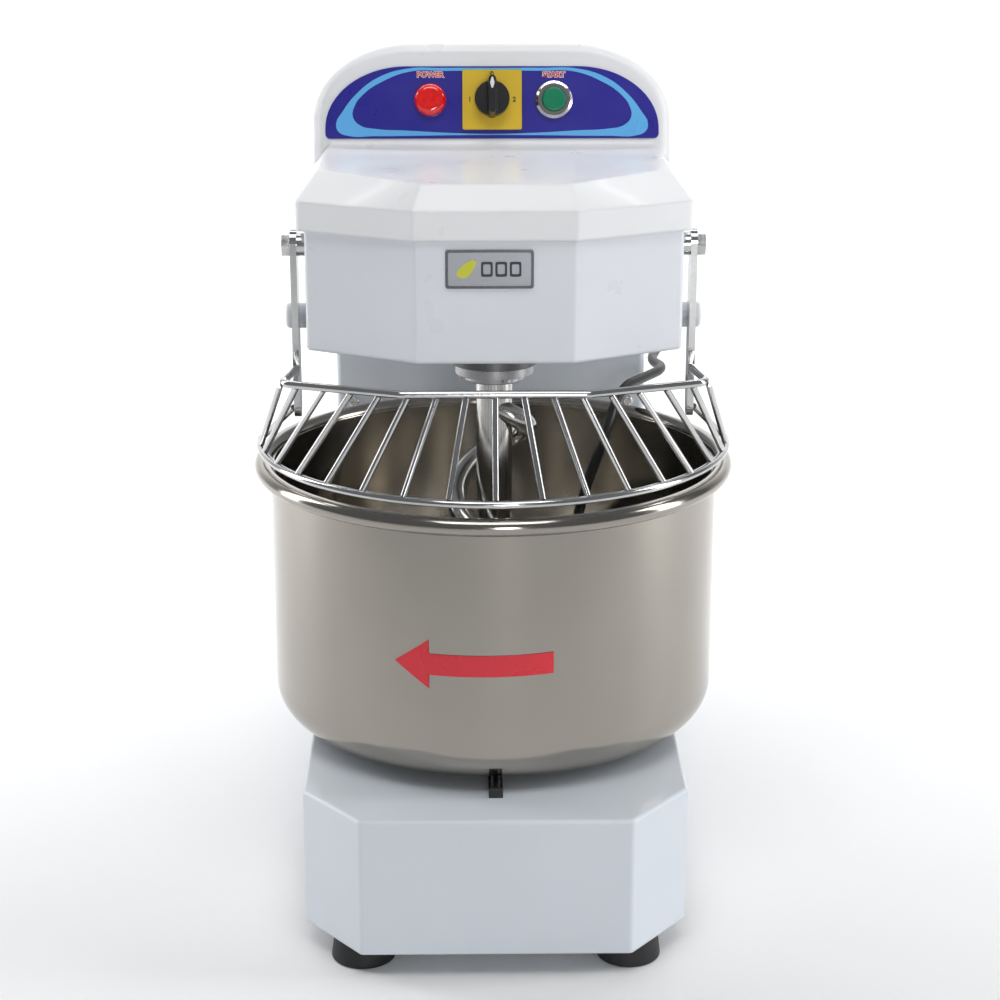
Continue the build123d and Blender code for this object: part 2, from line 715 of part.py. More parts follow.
# ---- roller that steadies the bowl's front edge ----------------------------------------------
roller_radius = (bowl_floor - base_top - turning_gap - panel_gap) / 2
roller_z = base_top + turning_gap + roller_radius
roller_front, roller_rear = bowl_y - 180.0, bowl_y - 148.0
roller_end = Plane(origin=(0, roller_front, roller_z), x_dir=(1, 0, 0), z_dir=(0, 1, 0))
axle_radius = 1.5
with BuildPart() as bowl_roller:
    with BuildSketch(roller_end):
        Circle(roller_radius)
        Circle(axle_radius + running_fit, mode=Mode.SUBTRACT)
    extrude(amount=roller_rear - roller_front)
save(bowl_roller, "bowl_roller")

ear = 1.5
bracket_width = 11.0
front_ear, rear_ear = roller_front - turning_gap - ear, roller_rear + turning_gap
with BuildPart() as roller_bracket:
    with BuildSketch(Plane.XY.offset(base_top)):
        with Locations((0, front_ear)):
            Rectangle(bracket_width, rear_ear + ear - front_ear, align=(Align.CENTER, Align.MIN))
        with Locations((0, front_ear + ear)):
            Rectangle(2 * (roller_radius + turning_gap), rear_ear - front_ear - ear,
                      align=(Align.CENTER, Align.MIN), mode=Mode.SUBTRACT)
    extrude(amount=ear)
    for y in (front_ear, rear_ear):
        with BuildSketch(Plane((0, y, base_top))):
            Rectangle(bracket_width, ear, align=(Align.CENTER, Align.MIN))
        extrude(amount=bowl_floor - turning_gap - base_top)
    with BuildSketch(Plane(origin=(0, front_ear, roller_z), x_dir=(1, 0, 0), z_dir=(0, 1, 0))):
        Circle(axle_radius)
    extrude(amount=rear_ear + ear - front_ear)
save(roller_bracket, "roller_bracket")

# ---- hook, its spindle and bearings ----------------------------------------------------------
housing_under = head_bottom - hook_housing_drop
flange_z = housing_under - hook_flange_bore - hook_flange_height
shaft_top = flange_z
with BuildPart() as hook_flange:
    add(ring_part(hook_flange_radius, hook_spindle_radius, flange_z, hook_flange_height, hook_y))
    add(ring_part(hook_step_radius, hook_shaft_radius, flange_z - hook_step_height, hook_step_height, hook_y))
    fillet(hook_flange.edges().group_by(Axis.Z)[0], 1.0)
    with Locations(Location((0, hook_y, 0))):
        with PolarLocations((hook_flange_radius + hook_step_radius) / 2, 4, start_angle=20):
            add(bolt(flange_z - 3.0, 1.5, 3.2, 3.0, 3.0))
save(hook_flange, "hook_flange")


def spiral_point(quarter):
    """Point of the rod's centre line, counted in quarter turns from the right of the shaft."""
    angle = radians(90 * quarter)
    radius = hook_start_radius + 1.15 * quarter ** 2
    height = hook_start_z - 20.0 * quarter - 3.0 * quarter ** 2
    return (radius * cos(angle), hook_y + radius * sin(angle), height)


with BuildPart() as spiral_hook:
    add(ring_part(hook_shaft_radius, 0, hook_tip_z, shaft_top - hook_tip_z, hook_y))
    fillet(spiral_hook.edges().group_by(Axis.Z)[0], hook_shaft_radius * 0.6)
    root = Vector(hook_shaft_radius * 0.3, hook_y - hook_shaft_radius * 0.5, hook_start_z + 16.0)
    turns = [spiral_point(quarter / 2) for quarter in range(int(hook_quarters * 2) + 1)]
    with BuildLine() as rod_line:
        Spline(root, *turns, spiral_point(hook_quarters))
    with BuildSketch(Plane(origin=rod_line.line @ 0, z_dir=rod_line.line % 0)):
        Circle(hook_rod_radius)
    sweep(path=rod_line.line)
    with Locations(spiral_point(hook_quarters)):
        Sphere(hook_rod_radius)
save(spiral_hook, "spiral_hook")

hook_pulley_low = belt_z - belt_spacing / 2 - belt_width / 2 - pulley_margin
pulley_height = belt_spacing + belt_width + 2 * pulley_margin
spindle_top = hook_pulley_low + pulley_height + 6.0
with BuildPart() as hook_spindle:
    add(ring_part(hook_spindle_radius, 0, flange_z, spindle_top - flange_z, hook_y))
    chamfer(hook_spindle.edges().group_by(Axis.Z)[-1], 1.0)
    with BuildSketch(Plane((0, hook_y, hook_pulley_low + pulley_height))):
        RegularPolygon(hook_spindle_radius * 1.6, 6)
    extrude(amount=5.0)
save(hook_spindle, "hook_spindle")

housing_over = head_bottom + hook_housing_rise
with BuildPart() as hook_bearing_housing:
    add(ring_part(hook_housing_radius, hook_bearing_radius, housing_under + 2.0,
                  housing_over - housing_under - 2.0, hook_y))
    add(ring_part(hook_housing_radius, hook_spindle_radius + turning_gap, housing_under, 2.0, hook_y))
    add(ring_part(hook_housing_flange, hook_housing_radius, head_bottom + sheet, 6.0, hook_y))
    with BuildSketch(Plane((0, hook_y, head_bottom + sheet + 6.0))):
        with PolarLocations((hook_housing_radius + hook_housing_flange) / 2, 4, start_angle=45):
            Circle(3.0)
    extrude(amount=-6.0, mode=Mode.SUBTRACT)
save(hook_bearing_housing, "hook_bearing_housing")

with BuildPart() as hook_housing_screws:
    with Locations(Location((0, hook_y, head_bottom + sheet + 6.0))):
        with PolarLocations((hook_housing_radius + hook_housing_flange) / 2, 4, start_angle=45):
            add(pan_screw(3.0, 5.5, 3.0, 6.0))
save(hook_housing_screws, "hook_housing_screws")

with BuildPart() as hook_bearings:
    for low in (housing_under + 2.0, housing_over - 1.0 - hook_bearing_height):
        add(ring_part(hook_bearing_radius, hook_spindle_radius + running_fit, low, hook_bearing_height, hook_y))
save(hook_bearings, "hook_bearings")

breaker_top = head_bottom + sheet + 8.0
with BuildPart() as breaker_bar:
    add(ring_part(breaker_radius, 0, breaker_bottom, breaker_top - breaker_bottom, bowl_y))
    fillet(breaker_bar.edges().group_by(Axis.Z)[0], breaker_radius * 0.6)
    add(ring_part(breaker_flange_radius, 0, head_bottom + sheet, 6.0, bowl_y))
save(breaker_bar, "breaker_bar")

# ---- wire guard, hinged on the head's sides --------------------------------------------------
arm_top = guard_pivot_z + 12.0
arm_bottom = guard_top_z - 41.0
top_rod_y = bowl_y - guard_top_reach
corner_x, corner_y = arm_x + 8.0, pivot_y - 59.0
ring_end = (guard_ring_radius, bowl_y - 4.0, guard_ring_z)


def rod_between(start, end, radius):
    """Straight rod from one point to another."""
    start, end = Vector(*start), Vector(*end)
    with BuildPart() as rod:
        with BuildSketch(Plane(origin=start, z_dir=end - start)):
            Circle(radius)
        extrude(amount=(end - start).length)
    return rod.part


def mirrored(point):
    """The same place on the machine's other side."""
    return (-point[0], point[1], point[2])


with BuildPart() as guard_arms:
    for side in (-1, 1):
        with BuildSketch(Plane.YZ.offset(side * arm_x - arm_thickness / 2)):
            with Locations((pivot_y, (arm_top + arm_bottom) / 2)):
                SlotOverall(arm_top - arm_bottom, arm_width, rotation=90)
            with Locations((pivot_y, guard_pivot_z)):
                Circle(pivot_radius, mode=Mode.SUBTRACT)
        extrude(amount=arm_thickness)
save(guard_arms, "guard_arms")

ring_angle = degrees(atan2(4.0, guard_ring_radius))
with BuildPart() as guard_ring:
    with BuildLine() as ring_line:
        CenterArc((0, bowl_y, guard_ring_z), guard_ring_radius, 180 + ring_angle, 180 - 2 * ring_angle)
    with BuildSketch(Plane(origin=ring_line.line @ 0, z_dir=ring_line.line % 0)):
        Circle(guard_rod)
    sweep(path=ring_line.line)
save(guard_ring, "guard_ring")

arm_hold = (arm_x, pivot_y - arm_width / 2, guard_top_z)
corner = (corner_x, corner_y, guard_top_z)
bend = (guard_flat / 2, top_rod_y, guard_top_z)
with BuildPart() as guard_top_rod:
    with BuildLine() as top_line:
        FilletPolyline(mirrored(arm_hold), mirrored(corner), mirrored(bend), bend, corner, arm_hold,
                       radius=12.0)
    with BuildSketch(Plane(origin=top_line.line @ 0, z_dir=top_line.line % 0)):
        Circle(guard_rod)
    sweep(path=top_line.line)
save(guard_top_rod, "guard_top_rod")


def top_rod_point(x):
    """Point of the top rod's centre line at a distance x from the middle."""
    run = max(abs(x) - bend[0], 0.0) / (corner_x - bend[0])
    return Vector(x, top_rod_y + run * (corner_y - top_rod_y), guard_top_z)


def ring_point(angle):
    """Point of the ring's centre line, by the angle from the front."""
    return Vector(guard_ring_radius * sin(angle), bowl_y - guard_ring_radius * cos(angle), guard_ring_z)


bar_numbers = range(-(guard_bars_count // 2), guard_bars_count // 2 + 1)
with BuildPart() as guard_bars:
    for number in bar_numbers:
        high = top_rod_point(number * guard_bar_pitch)
        low = ring_point(radians(number * guard_bar_angle))
        along = (low - high).normalized()
        add(rod_between(high + along * guard_rod, low - along * guard_rod, guard_bar))
save(guard_bars, "guard_bars")

brace_top = (arm_x + arm_thickness / 2, pivot_y, arm_bottom + 8.0)
corner_low = ring_point(radians(82.0))
with BuildPart() as guard_side_rods:
    for place in (lambda point: point, mirrored):
        for start, end in ((corner, (corner_low.X, corner_low.Y, corner_low.Z)), (brace_top, ring_end)):
            high, low = Vector(*place(start)), Vector(*place(end))
            along = (low - high).normalized()
            add(rod_between(high + along * guard_rod, low - along * guard_rod, guard_bar))
save(guard_side_rods, "guard_side_rods")

head_side = head_width / 2
arm_out = arm_x + arm_thickness / 2
with BuildPart() as pivot_bolts:
    for side in (-1, 1):
        outward = Plane(origin=(side * arm_out, pivot_y, guard_pivot_z), x_dir=(0, 1, 0), z_dir=(side, 0, 0))
        with BuildSketch(outward):
            RegularPolygon(pivot_radius * 1.85, 6)
        extrude(amount=6.5)
        with BuildSketch(outward):
            Circle(pivot_radius)
        extrude(amount=-(arm_out - head_side + pivot_inside))
        spacer = Plane(origin=(side * (head_side + turning_gap), pivot_y, guard_pivot_z),
                       x_dir=(0, 1, 0), z_dir=(side, 0, 0))
        with BuildSketch(spacer):
            Circle(pivot_radius * 1.8)
        extrude(amount=arm_x - arm_thickness / 2 - head_side - turning_gap)
        nut = Plane(origin=(side * (head_side - bush_length - turning_gap), pivot_y, guard_pivot_z),
                    x_dir=(0, 1, 0), z_dir=(-side, 0, 0))
        with BuildSketch(nut):
            RegularPolygon(pivot_radius * 1.85, 6)
        extrude(amount=8.0)
save(pivot_bolts, "pivot_bolts")

with BuildPart() as pivot_bushes:
    for side in (-1, 1):
        with BuildSketch(Plane(origin=(side * head_side, pivot_y, guard_pivot_z), x_dir=(0, 1, 0),
                               z_dir=(-side, 0, 0))):
            Circle(bush_radius)
            Circle(pivot_radius + running_fit, mode=Mode.SUBTRACT)
        extrude(amount=bush_length)
save(pivot_bushes, "pivot_bushes")

cam_x = -(head_side - bush_length - turning_gap - 8.5)
with BuildPart() as guard_cam:
    with BuildSketch(Plane.YZ.offset(cam_x)):
        with Locations((pivot_y, guard_pivot_z)):
            Circle(cam_radius)
            Circle(pivot_radius, mode=Mode.SUBTRACT)
        with Locations((pivot_y, guard_pivot_z + cam_radius)):
            Rectangle(2 * cam_radius, 5.0, mode=Mode.SUBTRACT)
    extrude(amount=6.0)
save(guard_cam, "guard_cam")

switch_top = guard_pivot_z - cam_radius - turning_gap
with BuildPart() as guard_switch:
    with BuildSketch(Plane.XY.offset(switch_top - 2.0)):
        with Locations((cam_x + 3.0, pivot_y)):
            Rectangle(10.0, 28.0)
    extrude(amount=-18.0)
    with BuildSketch(Plane.XY.offset(switch_top)):
        with Locations((cam_x + 3.0, pivot_y)):
            Circle(2.0)
    extrude(amount=-2.0)
    with BuildSketch(Plane.XY.offset(switch_top - 20.0)):
        with Locations(((cam_x + 8.0 - head_side + sheet) / 2, pivot_y)):
            Rectangle(cam_x + 8.0 + head_side - sheet, 28.0)
    extrude(amount=-2.0)
save(guard_switch, "guard_switch")

with BuildPart() as stop_knobs:
    for side in (-1, 1):
        with BuildSketch(Plane(origin=(side * head_side, stop_y, stop_z), x_dir=(0, 1, 0), z_dir=(side, 0, 0))):
            Circle(stop_radius)
        extrude(amount=stop_length)
    fillet(stop_knobs.faces().filter_by(Axis.X).group_by(Axis.X)[0].edges()
           + stop_knobs.faces().filter_by(Axis.X).group_by(Axis.X)[-1].edges(), 3.0)
    for side in (-1, 1):
        with BuildSketch(Plane(origin=(side * head_side, stop_y, stop_z), x_dir=(0, 1, 0), z_dir=(side, 0, 0))):
            Circle(stop_screw_radius)
        extrude(amount=-8.0)
save(stop_knobs, "stop_knobs")

# ---- drive: geared motor in the column, belts to the hook and a chain to the bowl -------------
shaft_bottom = chain_z - sprocket_thickness / 2 - 10.0
gearbox_low = motor_bottom - gearbox_height
with BuildPart() as drive_shaft:
    add(ring_part(drive_neck_radius, 0, shaft_bottom, gearbox_low - 40.0 - shaft_bottom, drive_y))
    add(ring_part(drive_shaft_radius, 0, gearbox_low - 40.0, spindle_top - gearbox_low + 40.0, drive_y))
    chamfer(drive_shaft.edges().group_by(Axis.Z)[0], 1.0)
    chamfer(drive_shaft.edges().group_by(Axis.Z)[-1], 1.0)
save(drive_shaft, "drive_shaft")

drive_hub_low = chain_z + sprocket_thickness / 2
drive_sprocket = sprocket(drive_teeth, drive_y, 10.5, drive_hub_low, 10.0, drive_neck_radius)
save(drive_sprocket, "drive_sprocket")


def pulley(radius, y, bore):
    """Two-groove belt pulley with a web between the grooves."""
    with BuildPart() as wheel:
        add(ring_part(radius, bore, hook_pulley_low, pulley_height, y))
        for side in (-1, 1):
            groove_low = belt_z + side * belt_spacing / 2 - belt_width / 2 - turning_gap
            add(ring_part(radius + 1.0, radius - belt_thickness + 1.0 - turning_gap, groove_low,
                          belt_width + 2 * turning_gap, y), mode=Mode.SUBTRACT)
    return wheel


motor_pulley = pulley(motor_pulley_radius, drive_y, drive_shaft_radius)
save(motor_pulley, "motor_pulley")
hook_pulley = pulley(hook_pulley_radius, hook_y, hook_spindle_radius)
save(hook_pulley, "hook_pulley")


def loop_band(z, height, near, near_radius, far, far_radius, width):
    """Flat closed band round two wheels, its inside at the given radii."""
    with BuildSketch(Plane.XY.offset(z)) as outside:
        with Locations((0, near)):
            Circle(near_radius + width)
        with Locations((0, far)):
            Circle(far_radius + width)
        make_hull()
    with BuildSketch(Plane.XY.offset(z)) as inside:
        with Locations((0, near)):
            Circle(near_radius)
        with Locations((0, far)):
            Circle(far_radius)
        make_hull()
    with BuildPart() as band:
        add(outside.sketch)
        extrude(amount=height)
        add(inside.sketch)
        extrude(amount=height, mode=Mode.SUBTRACT)
    return band.part


with BuildPart() as drive_belts:
    for side in (-1, 1):
        add(loop_band(belt_z + side * belt_spacing / 2 - belt_width / 2, belt_width, hook_y,
                      hook_pulley_radius - belt_thickness + 1.0, drive_y,
                      motor_pulley_radius - belt_thickness + 1.0, belt_thickness))
save(drive_belts, "drive_belts")

bowl_pitch = chain_pitch / (2 * sin(pi / bowl_teeth))
drive_pitch = chain_pitch / (2 * sin(pi / drive_teeth))
wheel_distance = drive_y - bowl_y
chain_run = sqrt(wheel_distance ** 2 - (bowl_pitch - drive_pitch) ** 2)
chain_slope = atan2(bowl_pitch - drive_pitch, chain_run)
plate_low = chain_z + sprocket_thickness / 2 + chain_gap
with BuildPart() as drive_chain:
    for low in (plate_low, chain_z - sprocket_thickness / 2 - chain_gap - chain_plate):
        add(loop_band(low, chain_plate, bowl_y, bowl_pitch - chain_width / 2, drive_y,
                      drive_pitch - chain_width / 2, chain_width))
    pins = int((chain_run - 62.0) / chain_pitch)
    for side in (-1, 1):
        places = []
        for number in range(pins):
            travelled = 45.0 + number * chain_pitch
            places.append((side * (bowl_pitch * cos(chain_slope) - travelled * sin(chain_slope)),
                           bowl_y + bowl_pitch * sin(chain_slope) + travelled * cos(chain_slope)))
        with BuildSketch(Plane.XY.offset(plate_low + chain_plate)):
            with Locations(*places):
                Circle(chain_pin)
        extrude(amount=-(sprocket_thickness + 2 * chain_gap + 2 * chain_plate))
save(drive_chain, "drive_chain")

with BuildPart() as motor:
    add(ring_part(motor_radius - 4.0, 0, motor_bottom, motor_height, drive_y))
    with BuildSketch(Plane((0, drive_y, motor_bottom + 12.0))):
        with PolarLocations(motor_radius - 4.0, 36):
            Rectangle(6.0, 3.0)
    extrude(amount=motor_height - 24.0)
    with BuildSketch(Plane((0, drive_y, 0))):
        Circle(drive_shaft_radius + turning_gap)
    extrude(amount=cover_bottom, mode=Mode.SUBTRACT)
save(motor, "motor")

with BuildPart() as gearbox:
    with BuildSketch(Plane((0, drive_y, gearbox_low))):
        RectangleRounded(gearbox_size, gearbox_size, 12.0)
        Circle(drive_shaft_radius + running_fit, mode=Mode.SUBTRACT)
    extrude(amount=gearbox_height)
save(gearbox, "gearbox")

column_inside = column_width - 2 * sheet
column_back = back_y - rear_recess - sheet
with BuildPart() as motor_mount:
    with BuildSketch(Plane((0, (column_y + sheet + column_back) / 2, gearbox_low - mount_thickness))):
        Rectangle(column_inside, column_back - column_y - sheet)
        with Locations((0, drive_y - (column_y + sheet + column_back) / 2)):
            Circle(drive_shaft_radius + turning_gap, mode=Mode.SUBTRACT)
    extrude(amount=mount_thickness)
save(motor_mount, "motor_mount")

strap_reach = drive_y - column_y - sheet - strap_thickness
with BuildPart() as motor_strap:
    with BuildSketch(Plane((0, drive_y, strap_z - strap_height / 2))):
        Circle(motor_radius + strap_thickness)
        with Locations((-45.0, -strap_reach / 2), (45.0, -strap_reach / 2)):
            Rectangle(strap_thickness, strap_reach)
        Circle(motor_radius, mode=Mode.SUBTRACT)
        with Locations((0, -strap_reach - strap_thickness / 2)):
            Rectangle(column_inside - 2 * panel_gap, strap_thickness)
    extrude(amount=strap_height)
    with BuildSketch(Plane.XZ.offset(-(column_y + sheet))):
        with Locations(*strap_screw_places):
            Circle(strap_screw_radius)
    extrude(amount=-strap_thickness, mode=Mode.SUBTRACT)
save(motor_strap, "motor_strap")

with BuildPart() as contactor:
    with BuildSketch(Plane((100.0, drive_y + 20.0, head_bottom + sheet))):
        RectangleRounded(46.0, 76.0, 3.0)
    extrude(amount=60.0)
    with BuildSketch(Plane((100.0, drive_y + 20.0, head_bottom + sheet + 60.0))):
        Rectangle(40.0, 44.0)
    extrude(amount=16.0)
save(contactor, "contactor")

# ---- power cord: gland on the rear cover, round the side, over the rim and into the bowl ------
cord_radius = 4.5
rear_outside = back_y - rear_recess + thin_sheet
cord_points = [
    (85, 345, 410), (85, 391, 410), (106, 431, 403), (150, 437, 393), (186, 401, 386),
    (192, 346, 379), (182, 286, 374), (162, 226, 371), (150, 171, 371), (160, 117, 377),
    (137, 72, 379), (112, 29, 380), (96, -7, 342), (82, 13, 292), (74, 31, 250),
    (69, 43, 217), (63, 51, 186), (48, 43, 164), (30, 25, 158),
]


def bend_radii(points):
    """Largest smooth radius at each inner point: 0.45 of the shorter run over the tangent of half the turn."""
    radii = []
    for before, here, after in zip(points, points[1:], points[2:]):
        run_in, run_out = Vector(*here) - Vector(*before), Vector(*after) - Vector(*here)
        shorter = min(run_in.length, run_out.length)
        radii.append(0.45 * shorter / tan(radians(run_in.get_angle(run_out)) / 2))
    return radii


cord_radii = bend_radii(cord_points)
print("cord radii", [round(radius) for radius in cord_radii])
with BuildPart() as power_cord:
    with BuildLine() as cord_line:
        FilletPolyline(*cord_points, radius=cord_radii)
    with BuildSketch(Plane(origin=cord_line.line @ 0, z_dir=cord_line.line % 0)):
        Circle(cord_radius)
    sweep(path=cord_line.line)
cord_volume = pi * cord_radius ** 2 * cord_line.wires()[0].length
print("cord length", round(cord_line.wires()[0].length), "volume over section times length",
      round(power_cord.part.volume / cord_volume, 4))
save(power_cord, "power_cord")

coil_radius = 45.0
coil_half_width = 9.0
coil_height = 17.0
coil_floor = bowl_floor + bowl_wall + panel_gap
cord_end = Vector(*cord_points[-1])
cord_heading = (cord_end - Vector(*cord_points[-2])).normalized()
level_heading = Vector(cord_heading.X, cord_heading.Y, 0).normalized()
stub = sqrt((coil_radius + coil_half_width) ** 2 - (coil_radius - cord_radius) ** 2) + 2.0
coil_centre = cord_end + level_heading * stub + Vector(-level_heading.Y, level_heading.X) * coil_radius
plug_length = 36.0
plug_width = 30.0
plug_height = 24.0
pin_length = 19.0
plug_stub = 50.0
plug_start = Vector(coil_centre.X + plug_stub, coil_centre.Y - coil_radius, coil_floor + plug_height / 2)
with BuildPart() as cord_coil:
    with BuildSketch(Plane((coil_centre.X, coil_centre.Y, coil_floor))):
        Circle(coil_radius + coil_half_width)
        Circle(coil_radius - coil_half_width, mode=Mode.SUBTRACT)
    extrude(amount=coil_height)
    add(rod_between(cord_end, cord_end + cord_heading * stub, cord_radius))
    add(rod_between(plug_start, plug_start - Vector(plug_stub, 0, 0), cord_radius))
save(cord_coil, "cord_coil")
coil_turns = 3
print("cord in coil", round(coil_turns * 2 * pi * coil_radius + stub + plug_stub))

plug_face = Plane(origin=plug_start, x_dir=(0, 1, 0), z_dir=(1, 0, 0))
with BuildPart() as plug_body:
    with BuildSketch(plug_face):
        Circle(cord_radius + 2.0)
    with BuildSketch(plug_face.offset(14.0)):
        RectangleRounded(plug_width, plug_height, 6.0)
    loft()
    with BuildSketch(plug_face.offset(14.0)):
        RectangleRounded(plug_width, plug_height, 6.0)
    extrude(amount=plug_length - 14.0)
save(plug_body, "plug_body")

with BuildPart() as plug_pins:
    with BuildSketch(plug_face.offset(plug_length)):
        with Locations((-9.5, 0), (9.5, 0)):
            Circle(2.4)
    extrude(amount=pin_length)
save(plug_pins, "plug_pins")

gland_face = Plane(origin=(gland_x, rear_outside, gland_z), x_dir=(-1, 0, 0), z_dir=(0, 1, 0))
gland_length = cord_points[0][1] - rear_outside
with BuildPart() as cord_gland:
    with BuildSketch(gland_face):
        RegularPolygon(13.0, 6)
    extrude(amount=7.0)
    with BuildSketch(gland_face.offset(7.0)):
        Circle(11.0)
    extrude(amount=gland_length - 7.0, taper=8.0)
    with BuildSketch(gland_face):
        Circle(gland_thread_radius)
    extrude(amount=-thin_sheet - 8.0)
save(cord_gland, "cord_gland")
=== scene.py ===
# %% [markdown]
# # A spiral dough mixer, looked at piece by piece
# The machine stands on four rubber feet. A sheet-metal base carries a turning steel bowl, a column
# behind the bowl carries a head, and a white plastic cover with a control console closes the head.
# The solid parts come in as a fixed frame. This lesson gives them their finishes and adds the pieces
# that a solid model leaves out: the cord as it really lies, printed marks and labels.

# %% Load the frame
import math
import bpy
import bmesh
from mathutils import Matrix, Vector


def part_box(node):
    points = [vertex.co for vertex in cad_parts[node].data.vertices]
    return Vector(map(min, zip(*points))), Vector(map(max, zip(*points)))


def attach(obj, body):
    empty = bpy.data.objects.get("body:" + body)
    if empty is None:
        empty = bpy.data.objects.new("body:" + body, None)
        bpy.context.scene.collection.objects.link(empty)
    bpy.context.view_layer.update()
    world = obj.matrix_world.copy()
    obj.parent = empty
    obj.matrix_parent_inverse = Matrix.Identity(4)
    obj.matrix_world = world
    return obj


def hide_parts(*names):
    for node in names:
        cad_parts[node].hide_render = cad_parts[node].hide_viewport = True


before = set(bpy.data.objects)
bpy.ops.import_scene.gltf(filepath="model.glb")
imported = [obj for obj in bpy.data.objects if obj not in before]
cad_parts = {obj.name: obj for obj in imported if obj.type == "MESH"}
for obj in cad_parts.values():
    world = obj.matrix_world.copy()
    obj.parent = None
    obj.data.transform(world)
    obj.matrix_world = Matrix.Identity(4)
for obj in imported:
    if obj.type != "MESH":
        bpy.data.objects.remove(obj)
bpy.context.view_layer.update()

# %% [markdown]
# ## The camera
# A long lens a little under two metres away keeps the uprights nearly parallel, as product pictures
# do. It looks down by 17 degrees, so the bowl's rim shows as a wide ellipse.

# %% Camera
camera_data = bpy.data.cameras.new("long_lens")
camera_data.sensor_width = 36
camera_data.lens = 78.2
camera = bpy.data.objects.new("camera", camera_data)
camera.location = (-0.01774, -1.81755, 0.84461)
camera.rotation_euler = (math.pi / 2 - 0.2978, 0, -0.0136)
bpy.context.scene.collection.objects.link(camera)
bpy.context.scene.camera = camera
print("camera to the middle of the base, in metres:", round(camera.location.length, 2))

# %% [markdown]
# ## Helpers for finishes
# Every finish starts from one Principled surface. A fine noise, measured in metres on the piece
# itself, gives the tiny unevenness that real paint, rubber and steel have. A second, larger noise
# shifts the colour a little, so that no large panel is one flat tone.

# %% Finish helpers
def new_finish(name, colour, roughness, metallic=0.0):
    """A material with one Principled surface; returns the material, its node tree and the surface."""
    finish = bpy.data.materials.new(name)
    finish.use_nodes = True
    tree = finish.node_tree
    surface = tree.nodes["Principled BSDF"]
    surface.inputs["Base Color"].default_value = (*colour, 1)
    surface.inputs["Roughness"].default_value = roughness
    surface.inputs["Metallic"].default_value = metallic
    return finish, tree, surface


def noise_on_piece(tree, size, stretch=(1, 1, 1), detail=3.0):
    """Noise whose spots are about size metres across, stretched along x, y and z."""
    place = tree.nodes.new("ShaderNodeTexCoord")
    scale = tree.nodes.new("ShaderNodeMapping")
    scale.inputs["Scale"].default_value = [1 / (size * s) for s in stretch]
    noise = tree.nodes.new("ShaderNodeTexNoise")
    noise.inputs["Scale"].default_value = 1.0
    noise.inputs["Detail"].default_value = detail
    tree.links.new(place.outputs["Object"], scale.inputs["Vector"])
    tree.links.new(scale.outputs["Vector"], noise.inputs["Vector"])
    return noise.outputs["Fac"]


def spread(tree, value, low, high):
    """Spreads a noise value over low to high."""
    span = tree.nodes.new("ShaderNodeMapRange")
    span.inputs["From Min"].default_value = 0.3
    span.inputs["From Max"].default_value = 0.7
    span.inputs["To Min"].default_value = low
    span.inputs["To Max"].default_value = high
    tree.links.new(value, span.inputs["Value"])
    return span.outputs["Result"]


def tint(tree, surface, value, dark, light):
    """Colours the surface between two close tones."""
    ramp = tree.nodes.new("ShaderNodeValToRGB")
    ramp.color_ramp.elements[0].position = 0.3
    ramp.color_ramp.elements[0].color = (*dark, 1)
    ramp.color_ramp.elements[1].position = 0.7
    ramp.color_ramp.elements[1].color = (*light, 1)
    tree.links.new(value, ramp.inputs["Fac"])
    tree.links.new(ramp.outputs["Color"], surface.inputs["Base Color"])


def relief(tree, surface, value, height, edge=0.0):
    """Raises the surface by the noise, height metres deep; edge also rounds sharp edges."""
    bump = tree.nodes.new("ShaderNodeBump")
    bump.inputs["Strength"].default_value = 0.5
    bump.inputs["Distance"].default_value = height
    tree.links.new(value, bump.inputs["Height"])
    if edge:
        soft_edge = tree.nodes.new("ShaderNodeBevel")
        soft_edge.samples = 4
        soft_edge.inputs["Radius"].default_value = edge
        tree.links.new(soft_edge.outputs["Normal"], bump.inputs["Normal"])
    tree.links.new(bump.outputs["Normal"], surface.inputs["Normal"])


def shaded(colour, factor):
    return tuple(c * factor for c in colour)


def coloured(name, colour, roughness, grain, depth, vary=0.04, edge=0.0, metallic=0.0, coat=0.0):
    """The common finish: fine grain, small shifts of colour and of gloss, softened edges."""
    finish, tree, surface = new_finish(name, colour, roughness, metallic)
    dark, light = shaded(colour, 1 - vary), shaded(colour, 1 + vary / 2)
    tint(tree, surface, noise_on_piece(tree, 0.12), dark, light)
    gloss = spread(tree, noise_on_piece(tree, 0.03), roughness * 0.85, roughness * 1.15)
    tree.links.new(gloss, surface.inputs["Roughness"])
    relief(tree, surface, noise_on_piece(tree, grain), depth, edge)
    surface.inputs["Coat Weight"].default_value = coat
    surface.inputs["Coat Roughness"].default_value = 0.08
    return finish


print("finish helpers ready")

# %% [markdown]
# ## Painted sheet and moulded plastic
# The base, column and head are folded sheet with a baked powder coat: satin, with a faint orange
# peel under a millimetre across. The base and column look slightly bluer than the head. The cover
# is moulded plastic, smoother and glossier than the paint, with edges rounded by the mould.

